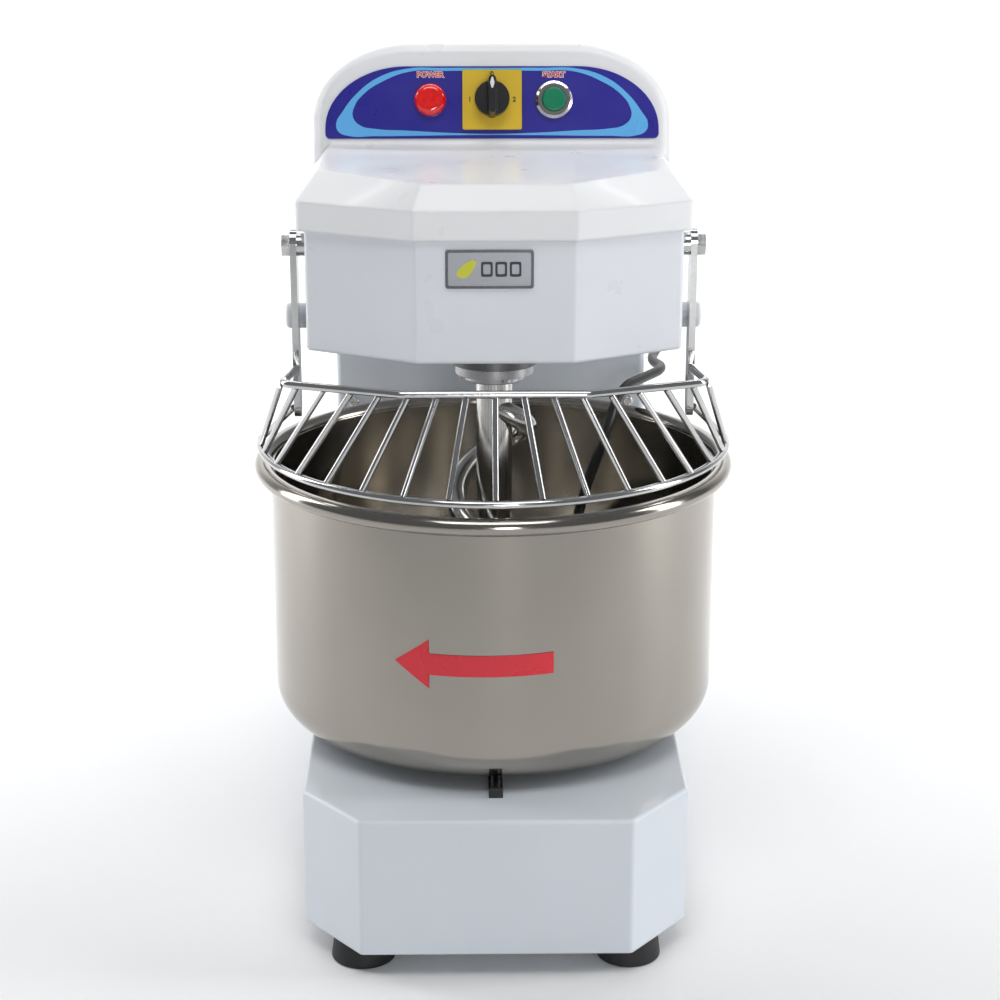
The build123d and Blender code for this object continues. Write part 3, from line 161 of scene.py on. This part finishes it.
# %% Paint and plastic
orange_peel = dict(grain=0.0012, depth=0.00003, edge=0.002, coat=0.15)
sheet_paint = coloured("sheet_paint", (0.70, 0.745, 0.80), 0.34, **orange_peel)
head_paint = coloured("head_paint", (0.76, 0.785, 0.83), 0.32, **orange_peel)
cover_white = coloured("cover_white", (0.86, 0.865, 0.88), 0.32, 0.004, 0.00002, vary=0.02, edge=0.004,
                       coat=0.12)
black_moulding = coloured("black_moulding", (0.012, 0.012, 0.013), 0.3, 0.0008, 0.00003, vary=0.3,
                          edge=0.0006)
soft_rubber = coloured("soft_rubber", (0.015, 0.015, 0.016), 0.62, 0.0009, 0.00008, vary=0.35, edge=0.001)
cord_sheath = coloured("cord_sheath", (0.018, 0.018, 0.019), 0.42, 0.0012, 0.00004, vary=0.3)
knob_white = coloured("knob_white", (0.74, 0.77, 0.8), 0.3, 0.002, 0.00003, edge=0.001)
switch_yellow = coloured("switch_yellow", (0.72, 0.48, 0.02), 0.42, 0.0007, 0.00003, vary=0.08, edge=0.0006)
button_green = coloured("button_green", (0.0, 0.22, 0.1), 0.3, 0.001, 0.00002, vary=0.1, edge=0.0006)
motor_grey = coloured("motor_grey", (0.13, 0.16, 0.19), 0.45, 0.002, 0.0001, vary=0.15, edge=0.001)
sticker_blue = coloured("sticker_blue", (0.022, 0.018, 0.3), 0.32, 0.02, 0.00001, vary=0.06, coat=0.1)
sticker_light = coloured("sticker_light", (0.13, 0.48, 0.9), 0.32, 0.02, 0.00001, vary=0.04, coat=0.1)
arrow_red = coloured("arrow_red", (0.72, 0.012, 0.03), 0.3, 0.01, 0.00001, vary=0.05, coat=0.3)
print("paints and plastics:", len(bpy.data.materials))

# %% [markdown]
# ## The red lens
# A signal lamp's lens is clear red plastic over a diffuser. It could be real glass with a lamp
# behind it. A faint glow of its own and a clear coat look close to that and cost much less.

# %% Lens
lens_red, lens_tree, lens_surface = new_finish("lens_red", (0.78, 0.008, 0.006), 0.12)
tint(lens_tree, lens_surface, noise_on_piece(lens_tree, 0.004), dark=(0.6, 0.004, 0.004),
     light=(0.85, 0.012, 0.01))
lens_surface.inputs["Coat Weight"].default_value = 1.0
lens_surface.inputs["Emission Color"].default_value = (0.8, 0.0, 0.0, 1)
lens_surface.inputs["Emission Strength"].default_value = 0.12
print("lens coat", lens_surface.inputs["Coat Weight"].default_value)

# %% [markdown]
# ## Steel
# The bowl is spun and brushed on a lathe, so its scratches run round it. Scratches that run round
# a cylinder smear every light into an upright streak, which is why such bowls show upright bright
# and dark bands. Anisotropy, with its tangent round the bowl's axis, gives that. The wires of the
# guard are plated and bright; the hook is polished rod; the castings are dark and rough.

# %% Metals
def metal(name, colour, roughness, line, stretch, turned=0.0, vary=0.05, depth=0.00002, edge=0.0,
          streak=0.25):
    """Bare metal whose fine lines change its gloss by streak, more or less."""
    finish, tree, surface = new_finish(name, colour, roughness, 1.0)
    lines = noise_on_piece(tree, line, stretch, detail=6.0)
    gloss = spread(tree, lines, roughness * (1 - streak), roughness * (1 + streak))
    tree.links.new(gloss, surface.inputs["Roughness"])
    dark, light = shaded(colour, 1 - vary), shaded(colour, 1 + vary / 2)
    tint(tree, surface, noise_on_piece(tree, 0.05), dark, light)
    if depth:
        relief(tree, surface, lines, depth, edge)
    if turned:
        round_axis = tree.nodes.new("ShaderNodeTangent")
        round_axis.direction_type = "RADIAL"
        round_axis.axis = "Z"
        surface.inputs["Anisotropic"].default_value = turned
        surface.inputs["Anisotropic Rotation"].default_value = 0.25
        tree.links.new(round_axis.outputs["Tangent"], surface.inputs["Tangent"])
    return finish


bowl_steel = metal("bowl_steel", (0.37, 0.345, 0.31), 0.16, 0.0009, (60, 60, 1), turned=0.5, vary=0.02,
                   depth=0.0, streak=0.1)
bright_wire = metal("bright_wire", (0.60, 0.60, 0.60), 0.14, 0.004, (1, 1, 1), vary=0.08)
polished_rod = metal("polished_rod", (0.60, 0.59, 0.57), 0.16, 0.002, (1, 1, 8), vary=0.08)
dark_casting = metal("dark_casting", (0.16, 0.16, 0.165), 0.42, 0.0015, (1, 1, 1), depth=0.0001, edge=0.001)
plain_steel = metal("plain_steel", (0.42, 0.42, 0.43), 0.34, 0.001, (8, 8, 1), edge=0.0006)
zinc_plate = metal("zinc_plate", (0.6, 0.61, 0.62), 0.28, 0.002, (1, 1, 1), edge=0.0005)
yellow_metal = metal("yellow_metal", (0.72, 0.55, 0.26), 0.22, 0.001, (1, 1, 1), edge=0.0004)
plate_metal = metal("plate_metal", (0.27, 0.28, 0.3), 0.34, 0.0006, (50, 1, 1), edge=0.0006)
print("all finishes:", len(bpy.data.materials))

# %% [markdown]
# ## The bowl's two sides, with painted light inside
# Outside, the wall is brushed and mirrors the dim room. Inside, each light bounces from wall to wall,
# so it looks brighter; this bounce light is painted into the inside's base colour as a brighter tone.
# The wall is 2 mm thick and turns into the floor round a corner, so the distance from that corner's
# centre line tells the two sides apart.

# %% Bowl sides
bowl_axis_y = -0.099
wall_radius = 0.182
bowl_corner = 0.028
bowl_underside = 0.1403
mid_wall = bowl_corner - 0.001


def step(tree, kind, first, second):
    """One math step; each side is a number or another step's result."""
    node = tree.nodes.new("ShaderNodeMath")
    node.operation = kind
    for socket, value in zip(node.inputs, (first, second)):
        if isinstance(value, (int, float)):
            socket.default_value = value
        else:
            tree.links.new(value, socket)
    return node.outputs["Value"]


def paint_bowl_inner_light(finish, painted_inner_light):
    """Paints the bowl's inner bounce light as a brighter base colour inside, by distance from the rounded
    corner's centre line.
    """
    tree = finish.node_tree
    surface = tree.nodes["Principled BSDF"]
    outside = surface.inputs["Base Color"].links[0].from_socket
    place = tree.nodes.new("ShaderNodeTexCoord")
    parts = tree.nodes.new("ShaderNodeSeparateXYZ")
    tree.links.new(place.outputs["Object"], parts.inputs["Vector"])
    depth = step(tree, "SUBTRACT", parts.outputs["Y"], bowl_axis_y)
    side = step(tree, "POWER", parts.outputs["X"], 2.0)
    reach = step(tree, "SQRT", step(tree, "ADD", side, step(tree, "POWER", depth, 2.0)), 0.0)
    out = step(tree, "MAXIMUM", step(tree, "SUBTRACT", reach, wall_radius - bowl_corner), 0.0)
    below = step(tree, "SUBTRACT", bowl_underside + bowl_corner, parts.outputs["Z"])
    down = step(tree, "MAXIMUM", below, 0.0)
    corner = step(tree, "ADD", step(tree, "POWER", out, 2.0), step(tree, "POWER", down, 2.0))
    choose = tree.nodes.new("ShaderNodeMix")
    choose.data_type = "RGBA"
    choose.inputs["A"].default_value = (*painted_inner_light, 1)
    tree.links.new(step(tree, "GREATER_THAN", corner, mid_wall ** 2), choose.inputs["Factor"])
    tree.links.new(outside, choose.inputs["B"])
    tree.links.new(choose.outputs["Result"], surface.inputs["Base Color"])


# Painted light: the brighter inside tone stands in for light bouncing round the inside of the bowl.
paint_bowl_inner_light(bowl_steel, (0.66, 0.63, 0.58))
print("middle of the wall is", round(wall_radius - 0.001, 4), "from the axis")

# %% [markdown]
# ## Dressing the solid parts
# A part whose shape is already right only needs a better finish. The list below is read like a
# maker's finish schedule: one finish, then every part that has it.

# %% Finish schedule
finish_schedule = [
    (sheet_paint, "base_housing column_housing rear_cover base_bottom_plate"),
    (head_paint, "head_housing"),
    (cover_white, "top_cover"),
    (sticker_blue, "control_panel"),
    (lens_red, "lamp_lens"),
    (switch_yellow, "switch_plate"),
    (black_moulding, "lamp_body switch_body selector_knob start_contact_block contactor guard_switch"),
    (black_moulding, "plug_body cord_gland bowl_roller roller_bracket"),
    (button_green, "start_button"),
    (knob_white, "stop_knobs"),
    (plate_metal, "nameplate"),
    (bowl_steel, "bowl"),
    (bright_wire, "guard_arms guard_ring guard_top_rod guard_bars guard_side_rods"),
    (bright_wire, "start_bezel pivot_bolts"),
    (polished_rod, "spiral_hook breaker_bar hook_spindle"),
    (dark_casting, "hook_bearing_housing bowl_bearing_housing hook_pulley motor_pulley"),
    (plain_steel, "hook_flange bowl_shaft bowl_sprocket drive_shaft drive_sprocket drive_chain"),
    (plain_steel, "bowl_bearings"),
    (plain_steel, "hook_bearings motor_mount motor_strap guard_cam"),
    (zinc_plate, "panel_screws foot_bolts bowl_housing_bolts hook_housing_screws"),
    (motor_grey, "motor gearbox"),
    (soft_rubber, "feet drive_belts"),
    (yellow_metal, "plug_pins pivot_bushes"),
]


def dress(node, finish):
    """Puts one finish on a solid part."""
    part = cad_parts[node]
    part.data.materials.clear()
    part.data.materials.append(finish)
    for holder in part.material_slots:
        holder.material = finish


for finish, nodes in finish_schedule:
    for node in nodes.split():
        dress(node, finish)
print("dressed", sum(len(nodes.split()) for _, nodes in finish_schedule), "parts")

# %% [markdown]
# ## The power cord
# A 9 mm rubber cord leaves a gland on the rear cover, bends round the column's side, hangs over the
# bowl's rim and drops into the bowl, where its spare length lies in a round coil with its plug.
# One smooth spline is drawn through listed points, and the coil's turns are more points of the
# same spline.

# %% Cord
cord_radius = 0.0045
cord_route = [
    (0.085, 0.345, 0.410), (0.085, 0.391, 0.410), (0.106, 0.431, 0.403), (0.150, 0.437, 0.393),
    (0.186, 0.401, 0.386), (0.192, 0.346, 0.379), (0.182, 0.286, 0.374), (0.162, 0.226, 0.371),
    (0.150, 0.171, 0.371), (0.160, 0.117, 0.377), (0.137, 0.072, 0.379), (0.112, 0.029, 0.380),
    (0.096, -0.007, 0.342), (0.082, 0.013, 0.292), (0.074, 0.031, 0.250), (0.069, 0.043, 0.217),
    (0.063, 0.051, 0.186), (0.048, 0.043, 0.164), (0.030, 0.025, 0.153),
]
coil_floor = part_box("cord_coil")[0][2]
coil_centre = Vector((0.0351, -0.0335, 0))
plug_low, plug_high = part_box("plug_body")
plug_tail = Vector((plug_low[0], (plug_low[1] + plug_high[1]) / 2, (plug_low[2] + plug_high[2]) / 2))
print("coil floor", round(coil_floor, 4), "plug tail", [round(c, 4) for c in plug_tail])

turns = 3
points_per_turn = 12
start_angle = math.radians(118)
end_angle = start_angle + turns * 2 * math.pi + math.radians(122)
loose_lays = (0.0415, 0.0495, 0.0425, 0.0500)   # the turns' radii: each lies a little differently
coil_rise = 0.0085
coil_points = []
steps = round((end_angle - start_angle) / (2 * math.pi) * points_per_turn)
for step in range(steps + 1):
    share = step / steps
    angle = start_angle + (end_angle - start_angle) * share
    lie = loose_lays[min(3, int(share * 4))]
    height = coil_floor + cord_radius + coil_rise * share
    coil_points.append((coil_centre.x + lie * math.cos(angle),
                        coil_centre.y + lie * math.sin(angle), height))
plug_lead = [
    (plug_tail.x - 0.022, plug_tail.y, plug_tail.z),
    (plug_tail.x - 0.008, plug_tail.y, plug_tail.z),
    (plug_tail.x + 0.002, plug_tail.y, plug_tail.z),
]
all_points = cord_route + coil_points + plug_lead

cord_curve = bpy.data.curves.new("mains_cord", "CURVE")
cord_curve.dimensions = "3D"
cord_curve.bevel_depth = cord_radius
cord_curve.bevel_resolution = 5
cord_curve.use_fill_caps = True
cord_curve.resolution_u = 10
cord_line = cord_curve.splines.new("NURBS")
cord_line.points.add(len(all_points) - 1)
for spot, (x, y, z) in zip(cord_line.points, all_points):
    spot.co = (x, y, z, 1)
cord_line.order_u = 3
cord_line.use_endpoint_u = True
cord_curve.materials.append(cord_sheath)
mains_cord = bpy.data.objects.new("mains_cord", cord_curve)
bpy.context.scene.collection.objects.link(mains_cord)

bare_curve = cord_curve.copy()
bare_curve.bevel_depth = 0
bare_object = bpy.data.objects.new("bare_line", bare_curve)
bare_line = bpy.data.meshes.new_from_object(bare_object)
bpy.data.objects.remove(bare_object)

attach(mains_cord, "frame")
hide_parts("power_cord", "cord_coil")

# %% [markdown]
# ## Mesh helper
# Thin printed marks are small meshes of their own: a front sheet and a back sheet joined by an edge.
# They lie a fraction of a millimetre above the part that they are stuck on.

# %% Mesh helper
def mesh_piece(name, points, faces, finish, body):
    """A new piece from points and faces that rides on a body."""
    shape = bpy.data.meshes.new(name)
    shape.from_pydata([tuple(p) for p in points], [], faces)
    shape.materials.append(finish)
    tidy = bmesh.new()
    tidy.from_mesh(shape)
    bmesh.ops.recalc_face_normals(tidy, faces=tidy.faces)
    tidy.to_mesh(shape)
    tidy.free()
    piece = bpy.data.objects.new(name, shape)
    bpy.context.scene.collection.objects.link(piece)
    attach(piece, body)
    return piece


def strip_piece(name, lower, upper, place, depth, finish, body):
    """A thin sheet between two rows of flat points; place turns (a, b, depth) into a spot in space."""
    count = len(lower)
    points = [place(a, b, d) for d in (0, depth) for row in (lower, upper) for a, b in row]
    faces = []
    for i in range(count - 1):
        faces.append((i, i + 1, count + i + 1, count + i))
        faces.append((2 * count + i, 2 * count + i + 1, 3 * count + i + 1, 3 * count + i))
        faces.append((i, i + 1, 2 * count + i + 1, 2 * count + i))
        faces.append((count + i, count + i + 1, 3 * count + i + 1, 3 * count + i))
    faces.append((0, count, 3 * count, 2 * count))
    faces.append((count - 1, 2 * count - 1, 4 * count - 1, 3 * count - 1))
    return mesh_piece(name, points, faces, finish, body)


print("mesh helpers ready")

# %% [markdown]
# ## The turning arrow
# A red film arrow on the bowl shows which way it turns. It is cut from flat film and wrapped round
# the wall, so its points are given as an angle round the bowl and a height, and then bent.

# %% Arrow
film_lift = 0.0003
arrow_height = 0.2412
arrow_tip, arrow_neck, arrow_tail = -25.0, -16.2, 14.0


def on_bowl(degrees, height, depth):
    angle = math.radians(degrees)
    reach = wall_radius + film_lift + depth
    return Vector((reach * math.sin(angle), bowl_axis_y - reach * math.cos(angle), height))


def bow(degrees):
    """The shaft is slightly bowed: its middle is a touch lower than its ends."""
    return arrow_height - 0.0008 + 0.0018 * ((degrees - arrow_neck) / 30) ** 2


shaft_angles = [arrow_neck + (arrow_tail - arrow_neck) * i / 20 for i in range(21)]
head_angles = [arrow_tip + (arrow_neck - 0.001 - arrow_tip) * i / 8 for i in range(9)]
half_shaft = 0.0086
half_head = 0.0198
neck_lap = 0.00005


def head_half(degrees):
    """Half the arrow head's height: nothing at the tip, full at the neck."""
    return half_head * (degrees - arrow_tip) / (arrow_neck - arrow_tip)


arrow_lower = [(a, bow(a) - head_half(a) - neck_lap) for a in head_angles]
arrow_upper = [(a, bow(a) + head_half(a) + neck_lap) for a in head_angles]
arrow_lower += [(a, bow(a) - half_shaft) for a in shaft_angles]
arrow_upper += [(a, bow(a) + half_shaft) for a in shaft_angles]
strip_piece("turning_arrow", arrow_lower, arrow_upper, on_bowl, 0.0002, arrow_red, "bowl")
print("arrow length along the wall:", round(wall_radius * math.radians(arrow_tail - arrow_tip), 3))

# %% [markdown]
# ## The console's printed sticker
# The blue sticker has a light blue sweep inside its edge, thick at the lower corners and thin along
# the top and bottom. It is a flat curve with a hole: one outline outside, one inside, both smooth.

# %% Console sticker
console_tilt = math.radians(15)
console_foot = Vector((0, -0.0503, 0.601))
across = Vector((1, 0, 0))
up_face = Vector((0, math.sin(console_tilt), math.cos(console_tilt)))
out_of_face = Vector((0, -math.cos(console_tilt), math.sin(console_tilt)))


def face_frame(x, height, lift):
    """A place on the console: x across, height up its face, lift out of it."""
    place = Matrix((across, up_face, out_of_face)).transposed().to_4x4()
    place.translation = console_foot + across * x + up_face * height + out_of_face * lift
    return place


def mirrored_loop(right_side):
    """A closed outline from its right half, top middle first, bottom middle last."""
    left = [(-x, y) for x, y in reversed(right_side) if abs(x) > 1e-6]
    return right_side + left


sweep_outside = mirrored_loop([
    (0, 0.0641), (0.040, 0.0641), (0.068, 0.0636), (0.092, 0.0565), (0.110, 0.0430), (0.121, 0.0290),
    (0.1262, 0.0195), (0.1245, 0.0130), (0.1165, 0.0095), (0.095, 0.0092), (0.040, 0.0098), (0, 0.0101)])
sweep_inside = mirrored_loop([
    (0, 0.0617), (0.040, 0.0617), (0.066, 0.0612), (0.089, 0.0530), (0.104, 0.0430), (0.1115, 0.0330),
    (0.1126, 0.0245), (0.1070, 0.0180), (0.0940, 0.0150), (0.070, 0.0137), (0.035, 0.0118), (0, 0.0109)])


def laid_piece(name, drawing, place, finish, body):
    """Turns a drawn curve or text into a mesh piece, puts it at place and makes it ride."""
    sketch = bpy.data.objects.new(name + "_sketch", drawing)
    bpy.context.scene.collection.objects.link(sketch)
    bpy.context.view_layer.update()
    shape = bpy.data.meshes.new_from_object(sketch)
    shape.name = name
    shape.transform(place)
    bpy.data.objects.remove(sketch)
    shape.materials.clear()
    shape.materials.append(finish)
    piece = bpy.data.objects.new(name, shape)
    bpy.context.scene.collection.objects.link(piece)
    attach(piece, body)
    return piece


def flat_curve(name, outlines, thickness, place, finish, body, dense=8):
    """A filled flat shape with smooth outlines, put on the console; inner outlines are holes."""
    drawing = bpy.data.curves.new(name, "CURVE")
    drawing.dimensions = "2D"
    drawing.fill_mode = "BOTH"
    drawing.extrude = thickness / 2
    drawing.resolution_u = dense
    for outline in outlines:
        line = drawing.splines.new("BEZIER")
        line.bezier_points.add(len(outline) - 1)
        for spot, (x, y) in zip(line.bezier_points, outline):
            spot.co = (x, y, 0)
            spot.handle_left_type = spot.handle_right_type = "AUTO"
        line.use_cyclic_u = True
    return laid_piece(name, drawing, place, finish, body)


sticker_top = 0.001
print_thickness = 0.0002
flat_curve("sticker_sweep", [sweep_outside, sweep_inside], print_thickness,
           face_frame(0, 0, sticker_top + print_thickness), sticker_light, "frame")
print("sweep outline points:", len(sweep_outside))

# %% [markdown]
# ## Words and numbers on the controls
# The switch has three positions marked 0, 1 and 2, and the lamp and button have plain one-word
# labels in red with a white edge. Raised letters are text turned into mesh and laid on the face.

# %% Marks
mark_dark = coloured("mark_dark", (0.02, 0.02, 0.02), 0.4, 0.002, 0.00001)
mark_white = coloured("mark_white", (0.8, 0.8, 0.8), 0.4, 0.002, 0.00001)
mark_red = coloured("mark_red", (0.75, 0.02, 0.03), 0.35, 0.002, 0.00001)


def label(name, words, size, fatness, place, finish, body):
    """Flat letters, centred on place."""
    text = bpy.data.curves.new(name, "FONT")
    text.body = words
    text.size = size
    text.align_x = "CENTER"
    text.align_y = "CENTER"
    text.offset = fatness
    text.extrude = print_thickness / 2
    text.resolution_u = 4
    return laid_piece(name, text, place, finish, body)


plate_top = 0.004
for name, words, x, height in (("mark_off", "0", 0, 0.0588), ("mark_one", "1", -0.0180, 0.0382),
                               ("mark_two", "2", 0.0180, 0.0382)):
    label(name, words, 0.0055, 0.0001, face_frame(x, height, plate_top + print_thickness),
          mark_dark, "frame")
for name, words, x in (("lamp_label", "POWER", -0.050), ("start_label", "START", 0.050)):
    label(name + "_edge", words, 0.0062, 0.00055, face_frame(x, 0.0585, sticker_top + print_thickness),
          mark_white, "frame")
    label(name, words, 0.0062, 0.0001, face_frame(x, 0.0585, sticker_top + 2.2 * print_thickness),
          mark_red, "frame")
knob_points = [v.co - console_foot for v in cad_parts["selector_knob"].data.vertices]
knob_top = max(point.dot(out_of_face) for point in knob_points)
pointer_outline = [(-0.0006, 0.006), (0.0006, 0.006), (0.0006, 0.0145), (-0.0006, 0.0145)]
flat_curve("pointer_line", [pointer_outline], print_thickness,
           face_frame(0, 0.0382, knob_top + print_thickness), mark_white, "selector", dense=2)
print("labels placed; knob stands", round(knob_top, 4), "out of the face")

# %% [markdown]
# ## The nameplate
# A pressed metal plate has a raised rim and a plain printed emblem: a round leaf mark and three
# bars. The rim is a frame shape, a rounded rectangle with a hole.

# %% Nameplate
plate_low, plate_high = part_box("nameplate")
plate_middle = ((plate_low[0] + plate_high[0]) / 2, (plate_low[2] + plate_high[2]) / 2)
plate_half = ((plate_high[0] - plate_low[0]) / 2, (plate_high[2] - plate_low[2]) / 2)
plate_front = plate_low[1]


def plate_frame(x, z, lift):
    place = Matrix(((1, 0, 0), (0, 0, -1), (0, 1, 0))).to_4x4()
    place.translation = (plate_middle[0] + x, plate_front - lift, plate_middle[1] + z)
    return place


def boxy_loop(half_width, half_height, corner, x=0.0, y=0.0):
    """A rectangle's outline with rounded corners."""
    loop = []
    for sx, sy, turn in ((1, 1, 0), (-1, 1, 90), (-1, -1, 180), (1, -1, 270)):
        for step in range(4):
            angle = math.radians(turn + step * 30)
            loop.append((x + sx * (half_width - corner) + corner * math.cos(angle),
                         y + sy * (half_height - corner) + corner * math.sin(angle)))
    return loop


plate_rim = metal("plate_rim", (0.1, 0.1, 0.11), 0.3, 0.001, (1, 1, 1))
emblem_yellow = coloured("emblem_yellow", (0.6, 0.6, 0.02), 0.35, 0.002, 0.00001)
flat_curve("nameplate_rim", [boxy_loop(plate_half[0] - 0.0003, plate_half[1] - 0.0003, 0.002),
                             boxy_loop(plate_half[0] - 0.0022, plate_half[1] - 0.0022, 0.0012)],
           0.0005, plate_frame(0, 0, 0.0003), plate_rim, "frame", dense=3)
flat_curve("nameplate_leaf", [[(-0.024, -0.004), (-0.019, -0.0065), (-0.0125, -0.001), (-0.011, 0.0065),
                               (-0.017, 0.005), (-0.0215, 0.001)]],
           print_thickness, plate_frame(0, 0, print_thickness), emblem_yellow, "frame",
           dense=6)
for bar, x in enumerate((-0.002, 0.0085, 0.019)):
    outlines = [boxy_loop(0.0042, 0.0055, 0.0012, x=x), boxy_loop(0.0042 - 0.0016, 0.0036, 0.0008, x=x)]
    flat_curve(f"nameplate_bar_{bar + 1}", outlines, print_thickness,
               plate_frame(0, 0, print_thickness), mark_dark, "frame", dense=3)
print("nameplate half size", [round(h, 4) for h in plate_half])

# %% [markdown]
# ## Floor and light
# The mixer stands on a pale sweep that runs up behind it. Steel only looks like steel when it has
# something to mirror: a tall panel at each side, a little behind the bowl, gives its upright bright
# bands, the dim air between the panels gives the dark ones, and a top and a front panel light the
# paint and the inside of the bowl.

# %% Floor and backdrop
sweep_finish, sweep_tree, sweep_surface = new_finish("pale_sweep", (0.9, 0.9, 0.9), 0.8)
tint(sweep_tree, sweep_surface, noise_on_piece(sweep_tree, 0.5), (0.89, 0.89, 0.89), (0.91, 0.91, 0.91))
sweep_start, sweep_bend = 1.6, 1.2
sweep_profile = [(-4.0, 0.0), (sweep_start, 0.0)]
for degrees in range(10, 91, 10):
    angle = math.radians(degrees)
    sweep_profile.append((sweep_start + sweep_bend * math.sin(angle), sweep_bend - sweep_bend * math.cos(angle)))
sweep_profile.append((sweep_start + sweep_bend, 5.0))
sweep_points = [(x, y, z) for x in (-5.0, 5.0) for y, z in sweep_profile]
rows = len(sweep_profile)
backdrop_mesh = bpy.data.meshes.new("studio_sweep")
backdrop_mesh.from_pydata(sweep_points, [], [(i, i + 1, rows + i + 1, rows + i) for i in range(rows - 1)])
backdrop_mesh.materials.append(sweep_finish)
for face in backdrop_mesh.polygons:
    face.use_smooth = True
backdrop = bpy.data.objects.new("studio_sweep", backdrop_mesh)
bpy.context.scene.collection.objects.link(backdrop)
print("sweep rows", rows)

# %% Lights
def soft_panel(name, spot, aim, width, height, power, tone=(1, 1, 1)):
    """A rectangular soft light that looks at aim."""
    lamp = bpy.data.lights.new(name, "AREA")
    lamp.shape = "RECTANGLE"
    lamp.size, lamp.size_y = width, height
    lamp.energy = power
    lamp.color = tone
    holder = bpy.data.objects.new(name, lamp)
    holder.location = spot
    holder.rotation_euler = (Vector(aim) - Vector(spot)).to_track_quat("-Z", "Y").to_euler()
    bpy.context.scene.collection.objects.link(holder)


aim = (0, 0, 0.35)
soft_panel("left_panel", (-1.9, 0.45, 0.9), aim, 0.5, 1.8, 19)
soft_panel("right_panel", (2.0, -0.25, 0.9), aim, 0.5, 1.8, 21)
soft_panel("top_panel", (0, -1.1, 2.5), aim, 1.6, 0.9, 19)
soft_panel("front_panel", (0.3, -3.2, 0.7), aim, 0.5, 0.9, 16)
soft_panel("backdrop_panel", (0, 0.9, 2.6), (0, 2.8, 1.0), 4.0, 0.8, 80)
world = bpy.data.worlds.new("studio_air")
bpy.context.scene.world = world
world.use_nodes = True
world.node_tree.nodes["Background"].inputs["Color"].default_value = (0.93, 0.96, 1.0, 1)
world.node_tree.nodes["Background"].inputs["Strength"].default_value = 0.19
bpy.context.scene.view_settings.view_transform = "Standard"
bpy.context.scene.view_settings.exposure = 0.0
print("lights:", len(bpy.data.lights))
